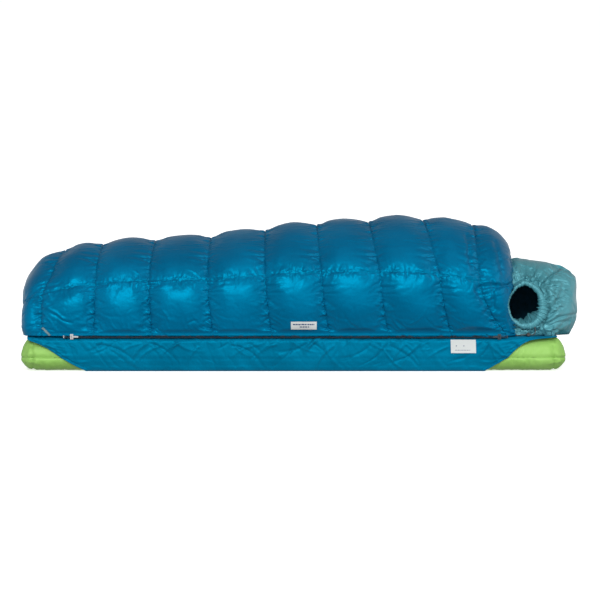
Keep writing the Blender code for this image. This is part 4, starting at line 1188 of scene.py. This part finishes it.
def build_rim():
    """The gathered channel round the face opening, and the funnel inside it."""
    centre, half_x, half_z, radius = face_frame()
    count, around = 480, 22
    turn = np.linspace(0, 2 * math.pi, count, endpoint=False)
    section = np.linspace(0, 2 * math.pi, around, endpoint=False)
    t, s = np.meshgrid(turn, section, indexing="ij")
    ring = np.stack([np.cos(t), np.sin(t), np.zeros_like(t)], axis=-1)
    gather = (folded(noise(ring, (0.085, 0.085, 1), 101))
              + 0.6 * folded(noise(ring, (0.04, 0.04, 1), 102)))
    broad = noise(ring, (0.45, 0.45, 1), 105)
    right = 0.5 + 0.5 * np.cos(t - math.radians(-20))
    size = radius * (0.62 + 0.28 * right + 0.14 * broad)
    size = size * (1 + 0.24 * gather * (0.4 + 0.6 * np.cos(s) ** 2))
    reach = size * (0.90 + 0.75 * right ** 2) * np.cos(s)
    lean = 0.0055 * right ** 2 - 0.0015 + 0.0030 * broad
    wobble = 0.0022 * noise(ring, (0.35, 0.35, 1), 103)
    x = centre.x + (half_x + lean + reach + wobble) * np.cos(t)
    z = centre.z + (half_z + 0.6 * lean + reach + wobble) * np.sin(t)
    y = centre.y + 0.0022 * noise(ring, (0.5, 0.5, 1), 104) + size * np.sin(s)
    loop = np.stack([x, y, z], axis=-1)
    rim = grid_object("face_rim_cloth", closed(loop), wrap=True, flip=True, seam=0.0)
    dressed(rim, teal_shell, "sleeve_base", ("face_rim",))

    t, share = np.meshgrid(turn, np.linspace(0, 1, 12), indexing="ij")
    ring = np.stack([np.cos(t), np.sin(t), share * 0.2], axis=-1)
    wide = 1.02 + 0.16 * share + 0.02 * folded(noise(ring, (0.11, 0.11, 0.3), 109)) * share
    collar_points = np.stack([centre.x + half_x * wide * np.cos(t),
                              centre.y + 0.002 + COLLAR_DEPTH * share,
                              centre.z + half_z * wide * np.sin(t)], axis=-1)
    collar = grid_object("face_collar", closed(collar_points), flip=True, seam=0.0)
    dressed(collar, teal_shell, "sleeve_base")

    t, share = np.meshgrid(turn, np.linspace(0, 1, 16), indexing="ij")
    ring = np.stack([np.cos(t), np.sin(t), share * 0.2], axis=-1)
    fold = (folded(noise(ring, (0.11, 0.11, 0.3), 106))
            + 0.5 * folded(noise(ring, (0.05, 0.05, 0.2), 107)))
    low_side = 0.5 + 0.5 * np.cos(t - math.radians(-68))
    slack = 1 + 0.30 * noise(np.stack([np.cos(t), np.sin(t), 0 * t], axis=-1), (0.30, 0.30, 1), 108)
    flare = 0.97 + (0.12 - 0.52 * low_side ** 3 * slack) * share
    flare = flare + (0.075 + 0.06 * low_side) * fold * np.sin(math.pi * share) ** 0.7
    x = centre.x + half_x * flare * np.cos(t)
    z = centre.z + half_z * flare * np.sin(t)
    y = centre.y + 0.003 + (LINING_DEPTH + 0.010) * share
    funnel = grid_object("face_funnel", closed(np.stack([x, y, z], axis=-1)), seam=0.0)
    dressed(funnel, teal_shell, "sleeve_base")


# The sleeve

def sleeve_ends(y, z):
    """X of the sleeve's foot and head ends at places on its outline."""
    foot = np.interp(z, *zip(*[(height, x) for x, height in SLEEVE_FOOT_CUT]))
    head = np.interp(z, *zip(*[(height, x) for x, height in SLEEVE_HEAD_CUT]))
    near_x, far_x = SLEEVE_PANEL_X
    blend = smooth_step((y - SLEEVE_PANEL_CORNER_Y + 0.02) / 0.04)
    return foot, np.minimum(head, near_x + (far_x - near_x) * blend)


def sleeve_section():
    """(y, z) points round the sleeve, close together on the near side."""
    half, top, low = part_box("sleeve")[1].y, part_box("sleeve")[1].z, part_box("sleeve")[0].z
    inner, flat_low, flat_high = half - SLEEVE_ROUND, low + SLEEVE_ROUND, top - SLEEVE_ROUND
    runs = [((-half, flat_low), (-half, flat_high), 30), ((-inner, top), (inner, top), 40),
            ((half, flat_high), (half, flat_low), 20), ((inner, low), (-inner, low), 36)]
    corners = [(-inner, flat_high, 180, 9), (inner, flat_high, 90, 6), (inner, flat_low, 0, 6),
               (-inner, flat_low, 270, 8)]
    points = []
    for (start, end, steps), (y, z, angle, arc_steps) in zip(runs, corners):
        share = np.arange(steps)[:, None] / steps
        points += list(np.array(start) + (np.array(end) - np.array(start)) * share)
        turns = np.radians(angle - 90 * np.arange(arc_steps) / arc_steps)
        points += [(y + SLEEVE_ROUND * math.cos(t), z + SLEEVE_ROUND * math.sin(t)) for t in turns]
    return np.array(points)


def sleeve_marks():
    """Long creases that run down and across the sleeve's side, and short ones all over it."""
    rng = np.random.default_rng(23)
    low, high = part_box("sleeve")
    marks = []
    for _ in range(LONG_CREASES):
        way = -1 if rng.uniform() < 0.65 else 1
        heading = math.radians(-90 + way * rng.uniform(28, 72))
        marks.append((rng.uniform(low.x, high.x), rng.uniform(0.085, 0.116), heading,
                      rng.uniform(0.06, 0.17), rng.uniform(0.0024, 0.0052),
                      rng.choice([-1, 1]) * rng.uniform(0.0020, 0.0052)))
    for _ in range(SHORT_CREASES):
        marks.append((rng.uniform(low.x, high.x), rng.uniform(0.01, 0.11),
                      rng.uniform(0, 2 * math.pi),
                      rng.uniform(0.02, 0.06), rng.uniform(0.0018, 0.0030),
                      rng.uniform(-0.0018, 0.0018)))
    return marks


def build_sleeve():
    section = sleeve_section()
    foot, head = sleeve_ends(section[:, 0], section[:, 1])
    low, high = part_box("sleeve")
    rows = 480
    x = foot + (head - foot) * np.linspace(0, 1, rows)[:, None]
    y, z = (np.broadcast_to(section[:, k], x.shape) for k in (0, 1))
    points = np.stack([x, y, z], axis=-1)
    outward = normals_of(points, wrap=True)
    side = np.abs(outward[..., 1]) ** 2
    end = np.maximum(np.minimum(x - foot, head - x), 0)
    height = np.interp(z, *zip(*SIDE_BULGE)) * side * smooth_step(end / 0.02)
    height += creases(x, z, sleeve_marks()) * side
    height -= 0.0008 * np.exp(-((z - SIDE_FOLD_Z) / 0.007) ** 2) * side
    drape = x + 0.6 * z + 0.02 * noise(plane(x, z), (0.08, 0.05, 1), 110)
    height += 0.0011 * folded(noise(plane(drape, z), (0.026, 0.10, 1), 111)) * side
    height += 0.0016 * noise(points, (0.07, 0.2, 0.035), 114) * side
    below_zip = np.where(side < 0.3, 1.0, high.z - z)
    height += pucker_height(below_zip, x, 0.022, 0.013, 0.0034, 115) * side
    run = np.concatenate([[0], np.cumsum(np.linalg.norm(np.diff(section, axis=0), axis=1))])
    run = np.broadcast_to(run, x.shape)
    height += pucker_height(end, run, 0.040, 0.009, 0.0036, 117) * (0.3 + 0.7 * side)
    height -= 0.0022 * np.exp(-((end - 0.012) / 0.003) ** 2) * side
    flat = (1 - side) * (z > high.z / 2)
    height += flat * np.minimum(0.0, 0.0008 * noise(points, (0.09, 0.06, 1), 119) - 0.0006)
    label_low, label_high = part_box("care_label")
    behind = (smooth_step((x - label_low.x + 0.02) / 0.02)
              * smooth_step((label_high.x + 0.02 - x) / 0.02)
              * smooth_step((z - label_low.z + 0.02) / 0.02)) * (y < 0)
    height = height + (0.0040 - height) * 0.85 * behind * side
    height = np.where(z < 0.004, 0.0, height)
    points = points + outward * height[..., None]
    points[..., 2] = np.clip(points[..., 2], low.z, high.z)
    sleeve = grid_object("sleeve_cloth", points, wrap=True)
    dressed(sleeve, sleeve_fabric, "sleeve_base", ("sleeve",))
    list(build_hems(points))
    build_far_seam()


def build_far_seam():
    """The strip that joins the quilt top to the sleeve along the far side,
    in line with the hinge."""
    xs = np.linspace(*FAR_SEAM_X, 420)
    loop = np.array(FAR_SEAM)
    points = np.zeros((len(xs), len(loop), 3))
    points[..., 0] = xs[:, None]
    points[..., 1:] = loop
    hanging = smooth_step((0.118 - points[..., 2]) / 0.012)
    gather = folded(noise(plane(points[..., 0], 0 * points[..., 0]), (0.011, 1, 1), 125))
    points[..., 1] += 0.0009 * gather * hanging
    joining = grid_object("far_seam_strip", points, wrap=True)
    return dressed(joining, sleeve_fabric, "sleeve_base")


def build_hems(points):
    """The rolled, gathered hems at the sleeve's two ends."""
    made = []
    for where, ring in (("foot", points[0]), ("head", points[-1])):
        middles = (ring + np.roll(ring, -1, axis=0)) / 2
        radius = HEM_RADIUS * (1 + 0.25 * noise(middles, 0.008, 121))
        middles[:, 2] = np.clip(middles[:, 2], 1.3 * HEM_RADIUS, None)
        hem = grid_object(f"sleeve_hem_{where}_cloth",
                          closed(tube_points(middles, radius, 8)), wrap=True)
        made.append(dressed(hem, sleeve_fabric,
                            "sleeve_base", [f"sleeve_hem_{where}"]))
    return made


def tube_points(ring, radius, sides):
    """A closed ring of points thickened to a tube, as a (points, sides) grid."""
    forward = np.roll(ring, -1, axis=0) - np.roll(ring, 1, axis=0)
    forward /= np.maximum(np.linalg.norm(forward, axis=1, keepdims=True), 1e-9)
    first = np.cross(forward, [1.0, 0.0, 0.0])
    first /= np.maximum(np.linalg.norm(first, axis=1, keepdims=True), 1e-9)
    second = np.cross(forward, first)
    turns = np.linspace(0, 2 * math.pi, sides, endpoint=False)
    wide = np.asarray(radius)[:, None, None]
    return ring[:, None] + wide * (np.cos(turns)[None, :, None] * first[:, None]
                                   + np.sin(turns)[None, :, None] * second[:, None])


# The pad

def edge_spacing(steps):
    """Distances in from the pad's edge, close together where its wall is steep."""
    turns = np.linspace(0, math.pi / 2, steps, endpoint=False)
    return PAD_EDGE * (1 - np.cos(turns) ** (2 / PAD_FULLNESS))


def pad_grid(way):
    """One skin of the pad, from its foot end to its head end and from the near to the far side."""
    low_t, high_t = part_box("pad_top_skin")
    low_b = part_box("pad_bottom_skin")[0]
    length, half = high_t.x - low_t.x, high_t.y
    walls = [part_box(f"pad_inner_wall_{n}")[0].y for n in range(1, 5)]
    wall_low, wall_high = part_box("pad_inner_wall_1")
    edge = edge_spacing(16)
    xs = np.concatenate([edge, np.arange(PAD_EDGE, length - PAD_EDGE, 0.0045), length - edge[::-1]])
    ys = np.concatenate([edge, np.linspace(PAD_EDGE, 2 * half - PAD_EDGE, 76),
                         2 * half - edge[::-1]])
    x, share = np.meshgrid(low_t.x + xs, ys / half - 1, indexing="ij")
    from_end = np.minimum(x - low_t.x, high_t.x - x)
    into = np.clip(PAD_CORNER - from_end, 0, PAD_CORNER)
    y = share * (half - PAD_CORNER + np.sqrt(np.maximum(PAD_CORNER ** 2 - into ** 2, 0)))
    corner_x = np.maximum(PAD_CORNER - from_end, 0)
    corner_y = np.maximum(np.abs(y) - (half - PAD_CORNER), 0)
    straight = np.minimum(from_end, half - np.abs(y))
    distance = np.where((corner_x > 0) & (corner_y > 0),
                        PAD_CORNER - np.hypot(corner_x, corner_y), straight)
    distance = np.maximum(distance, 0)
    t = np.clip(distance / PAD_EDGE, 0, 1)
    full = (1 - (1 - t) ** PAD_FULLNESS) ** (1 / PAD_FULLNESS)
    between = (np.clip((x - wall_low.x) / 0.05, 0, 1) * np.clip((wall_high.x - x) / 0.05, 0, 1))
    groove = np.zeros_like(x)
    for wall in walls:
        groove = np.maximum(groove, np.exp(-np.abs(y - wall) / 0.016) * smooth_step(between))
    reach = (high_t.z - PAD_WELD_Z) if way > 0 else (PAD_WELD_Z - low_b.z)
    z = reach * full - BAFFLE_DEPTH * groove * (1 if way > 0 else 0.25)
    points = np.stack([x, y, PAD_WELD_Z + way * np.maximum(z, 0)], axis=-1)

    outward = normals_of(points) * way
    along = np.where(from_end < half - np.abs(y), y, x)
    height = pucker_height(z, along, 0.026, 0.009, 0.0042, 131 + way)
    height += pucker_height(z, along, 0.060, 0.020, 0.0026, 135 + way)
    seam = np.abs(from_end - END_SEAM_INSET)
    height += pucker_height(seam, y + z, 0.014, 0.010, 0.0050, 141 + way)
    height -= 0.0062 * np.exp(-((seam / 0.0055) ** 2))
    height -= 0.0034 * np.exp(-((z / 0.0032) ** 2))
    for wall in walls:
        height += 0.4 * pucker_height(np.abs(y - wall), x, 0.014, 0.014, 0.0030, 145) * between
    points = points + outward * height[..., None]
    points[..., 0] = np.clip(points[..., 0], low_t.x - 0.001, high_t.x + 0.001)
    points[..., 1] = np.clip(points[..., 1], -half, half)
    points[..., 2] = np.clip(points[..., 2], low_b.z, high_t.z)
    for edge_line in ((0, slice(None)), (-1, slice(None)), (slice(None), 0), (slice(None), -1)):
        points[edge_line][..., 2] = PAD_WELD_Z
    return points


def build_pad():
    top, bottom = pad_grid(1), pad_grid(-1)
    bottom[0], bottom[-1], bottom[:, 0], bottom[:, -1] = top[0], top[-1], top[:, 0], top[:, -1]
    walls = [f"pad_inner_wall_{n}" for n in range(1, 5)]
    for name, points, flip, stands_for in (("pad_cloth", top, False, ["pad_top_skin", *walls]),
                                           ("pad_underside", bottom, True, ["pad_bottom_skin"])):
        dressed(grid_object(name, points, flip=flip), pad_fabric, "pad", stands_for)
    edge = border_of(top)
    weld = tube_points(edge, np.full(len(edge), PAD_WELD_RADIUS), 6)
    dressed(grid_object("pad_weld_edge", closed(weld), wrap=True), pad_fabric, "pad")
    bevelled(("valve_body", "valve_flap", "valve_cap"), 0.0006, black_plastic)


# Zip, labels and small pieces

def teeth(name, x_range, y_range, root_z, tip_z, offset, body, stands_for):
    """A row of zip teeth from root_z to tip_z."""
    xs = np.arange(x_range[0] + TOOTH_PITCH * (0.5 + offset),
                   x_range[1] - TOOTH_PITCH / 2, TOOTH_PITCH)
    wide = TOOTH_PITCH * 0.30
    bend = root_z + 0.62 * (tip_z - root_z)
    profile = [(-wide, root_z), (wide, root_z), (wide, bend), (0.55 * wide, tip_z),
               (-0.55 * wide, tip_z), (-wide, bend)]
    points, faces = [], []
    middle = (y_range[0] + y_range[1]) / 2
    reach = (y_range[1] - y_range[0]) / 2
    for x in xs:
        start = len(points)
        for way in (-1, 1):
            points += [(x + dx, middle + way * reach, z) for dx, z in profile]
        faces.append([start + i for i in range(6)])
        faces.append([start + 11 - i for i in range(6)])
        faces += [[start + i, start + 6 + i, start + 6 + (i + 1) % 6, start + (i + 1) % 6]
                  for i in range(6)]
    row = mesh_object(name, points, faces, smooth=False)
    dressed(row, coil_plastic, body, stands_for)


def strip(name, x_range, y, z_range, seed, body, stands_for):
    """A narrow woven tape with a slight waver, as a closed thin solid."""
    x, z = np.meshgrid(np.arange(*x_range, 0.004), np.linspace(*z_range, 4), indexing="ij")
    waver = 0.00018 * noise(plane(x, z), (0.03, 0.01, 1), seed)
    front = np.stack([x, y[0] + waver, z], axis=-1)
    back = np.stack([x, y[1] + waver, z], axis=-1)
    section = np.concatenate([front, back[:, ::-1]], axis=1)
    dressed(grid_object(name, section, wrap=True), tape_fabric, body, stands_for)


def build_zip():
    tape_low, tape_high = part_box("lower_zip_tape")
    coil_low, coil_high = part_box("lower_zip_coil")
    up_low, up_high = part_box("upper_zip_tape")
    up_coil_low, up_coil_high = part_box("upper_zip_coil")
    middle = (coil_high.z + up_coil_low.z) / 2
    strip("zip_tape_lower", (tape_low.x, tape_high.x), (tape_low.y, tape_high.y),
          (tape_high.z - ZIP_BACKING, tape_high.z), 3, "sleeve_base", ["lower_zip_tape"])
    teeth("zip_coil_lower", (coil_low.x, coil_high.x), (coil_low.y, coil_high.y), coil_low.z,
          middle - TOOTH_GAP, 0.0, "sleeve_base", ["lower_zip_coil"])
    for half, span, zips in (("foot", (tape_low.x, 0.0), ("foot_zip", "upper_zip")),
                             ("head", (0.0, tape_high.x), ("head_zip",))):
        strip(f"zip_tape_upper_{half}", span, (up_low.y, up_high.y),
              (up_low.z, up_low.z + ZIP_BACKING),
              4, half, [f"{name}_tape" for name in zips])
        teeth(f"zip_coil_upper_{half}", span, (up_coil_low.y, up_coil_high.y), up_coil_high.z,
              middle + TOOTH_GAP, 0.5, half, [f"{name}_coil" for name in zips])
    for end, material in (("foot", slider_metal), ("head", dark_metal)):
        bevelled((f"zip_{end}_stop", f"{end}_slider", f"{end}_pull_pin", f"{end}_pull"),
                 0.0003, material)


def near_side(points, x_range, z_range, count_x, count_z):
    """A patch that lies on the near side of a surface."""
    part = points[:, :points.shape[1] // 3]
    tree = BVHTree.FromPolygons(part.reshape(-1, 3).tolist(), grid_faces(*part.shape[:2]).tolist())
    out = np.empty((count_x, count_z, 3))
    for i, x in enumerate(np.linspace(*x_range, count_x)):
        for j, z in enumerate(np.linspace(*z_range, count_z)):
            hit = tree.ray_cast(Vector((x, -1.0, z)), Vector((0, 1, 0)))[0]
            out[i, j] = (x, hit.y if hit else part[..., 1].min(), z)
    return out


def slab(name, front, thickness, material, body, stands_for):
    """A thin closed sheet: a front grid and the same grid set back along Y."""
    back = front + np.array([0.0, thickness, 0.0])
    rows, cols = front.shape[:2]
    faces = grid_faces(rows, cols)
    behind = faces[:, ::-1] + rows * cols
    ring = border_of(np.arange(rows * cols).reshape(rows, cols))
    after = np.roll(ring, -1)
    rim = np.stack([after, ring, ring + rows * cols, after + rows * cols], axis=-1)
    points = np.concatenate([front.reshape(-1, 3), back.reshape(-1, 3)])
    sheet = mesh_object(name, points, np.concatenate([faces, behind, rim]), smooth=False)
    return dressed(sheet, material, body, [stands_for])


def printed(name, front, marks, body):
    """Small plain bars and dots printed on a label, each a share of its width and height."""
    rows, cols = front.shape[:2]
    points, faces = [], []
    for left, right, low, high in marks:
        start = len(points)
        for u, v in ((left, low), (right, low), (right, high), (left, high)):
            i, j = u * (rows - 1), v * (cols - 1)
            a, b = int(min(i, rows - 2)), int(min(j, cols - 2))
            s, t = i - a, j - b
            place = (front[a, b] * (1 - s) * (1 - t) + front[a + 1, b] * s * (1 - t)
                     + front[a, b + 1] * (1 - s) * t + front[a + 1, b + 1] * s * t)
            points.append(tuple(place - np.array([0, 0.00018, 0])))
        faces.append(range(start, start + 4))
    return dressed(mesh_object(name, points, faces, smooth=False), print_ink, body)


def word_bars(rng, left, right, low, high):
    """A row of bars of uneven length, standing for a line of print."""
    bars, x = [], left
    while x < right - 0.03:
        width = min(rng.uniform(0.03, 0.10), right - x)
        bars.append((x, x + width, low, high))
        x += width + rng.uniform(0.012, 0.03)
    return bars


def build_labels(bag_points):
    rng = np.random.default_rng(31)
    low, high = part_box("side_label")
    front = near_side(bag_points, (low.x + 0.001, high.x - 0.001), (low.z, high.z), 22, 9)
    front[..., 1] = gaussian(gaussian(front[..., 1], 2, 0), 2, 1) - 0.0026
    label = slab("side_label_cloth", front, 0.0006, label_fabric,
                 "quilt_top", "side_label")
    marks = word_bars(rng, 0.08, 0.92, 0.56, 0.72) + word_bars(rng, 0.34, 0.70, 0.26, 0.40)
    ink = printed("side_label_print", front, marks, "quilt_top")

    low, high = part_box("care_label")
    x, z = np.meshgrid(np.linspace(low.x, high.x, 16),
                       np.linspace(low.z, high.z, 10), indexing="ij")
    hang = (high.z - z) / (high.z - low.z)
    curl = 0.0022 * hang ** 2 * (0.6 + 0.4 * np.sin((x - low.x) * 40))
    front = np.stack([x + 0.0012 * hang, low.y - 0.0022 - curl, z], axis=-1)
    care = slab("care_label_cloth", front, 0.0004, label_fabric,
                "sleeve_base", "care_label")
    marks = [(0.20, 0.24, 0.50, 0.57), (0.50, 0.54, 0.50, 0.57)]
    marks += word_bars(rng, 0.16, 0.80, 0.20, 0.235)
    ink = printed("care_label_print", front, marks, "sleeve_base")

    low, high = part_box("foot_tab")
    share = np.linspace(0, 1, 18)
    path_x = low.x + (high.x - low.x) * share
    path_z = high.z + (low.z - high.z) * share ** 1.25
    base = near_side(bag_points, (low.x, high.x), (low.z, high.z), 18, 8)[..., 1]
    y = np.array([base[i, int(round((1 - s) * 7))] for i, s in enumerate(share)])
    y = gaussian(y, 2, 0) - 0.0012 - 0.0045 * np.sin(math.pi * share)
    front = np.stack([np.stack([path_x + w, y, path_z + w], axis=-1)
                      for w in 0.7 * np.linspace(-0.0034, 0.0034, 4)], axis=1)
    slab("foot_webbing_tab", front, 0.0012, webbing_fabric, "sleeve_base", "foot_tab")


# Room and light

def build_room():
    corners = [[(x, y, -0.0003) for y in (-FLOOR_REACH, FLOOR_REACH)]
               for x in (-FLOOR_REACH, FLOOR_REACH)]
    floor = grid_object("floor", np.array(corners, float))
    made, tree, shader = new_material("pale_floor", 0.9, specular_ior_level=0.0,
                                      emission_color=(1.0, 1.0, 1.0, 1.0),
                                      emission_strength=FLOOR_GLOW)
    paper = noise_node(tree, 3.0, 3.0)
    tree.links.new(ramp(tree, paper.outputs["Fac"], [(0.3, (0.87, 0.87, 0.87)),
                                                    (0.7, (0.89, 0.89, 0.89))]),
                   shader.inputs["Base Color"])
    paint(floor, made)
    floor.visible_diffuse = floor.visible_glossy = False

    world = bpy.data.worlds.new("studio")
    scene.world = world
    world.use_nodes = True
    tree = world.node_tree
    coordinates = node(tree, "ShaderNodeTexCoord")
    split = node(tree, "ShaderNodeSeparateXYZ")
    tree.links.new(coordinates.outputs["Generated"], split.inputs["Vector"])
    stops = [(place, (level,) * 3) for place, level in SKY]
    height = scaled(tree, split.outputs["Z"], 0.5, 0.5)
    tree.links.new(ramp(tree, height, stops), tree.nodes["Background"].inputs["Color"])

    for name, azimuth, elevation, spread_angle, power in SUNS:
        data = bpy.data.lights.new(name, "SUN")
        data.energy, data.angle = power, math.radians(spread_angle)
        light = bpy.data.objects.new(name, data)
        scene.collection.objects.link(light)
        turn, rise = math.radians(azimuth), math.radians(elevation)
        toward = Vector((math.sin(turn) * math.cos(rise), -math.cos(turn) * math.cos(rise),
                         math.sin(rise)))
        light.rotation_euler = toward.to_track_quat("Z", "Y").to_euler()
    scene.view_settings.view_transform = "Standard"


build_camera()
build_cord()
bag_points = build_bag()
build_linings()
build_draft_tube()
build_hood()
build_hood_lining()
build_rim()
build_sleeve()
build_pad()
build_zip()
build_labels(bag_points)
build_room()
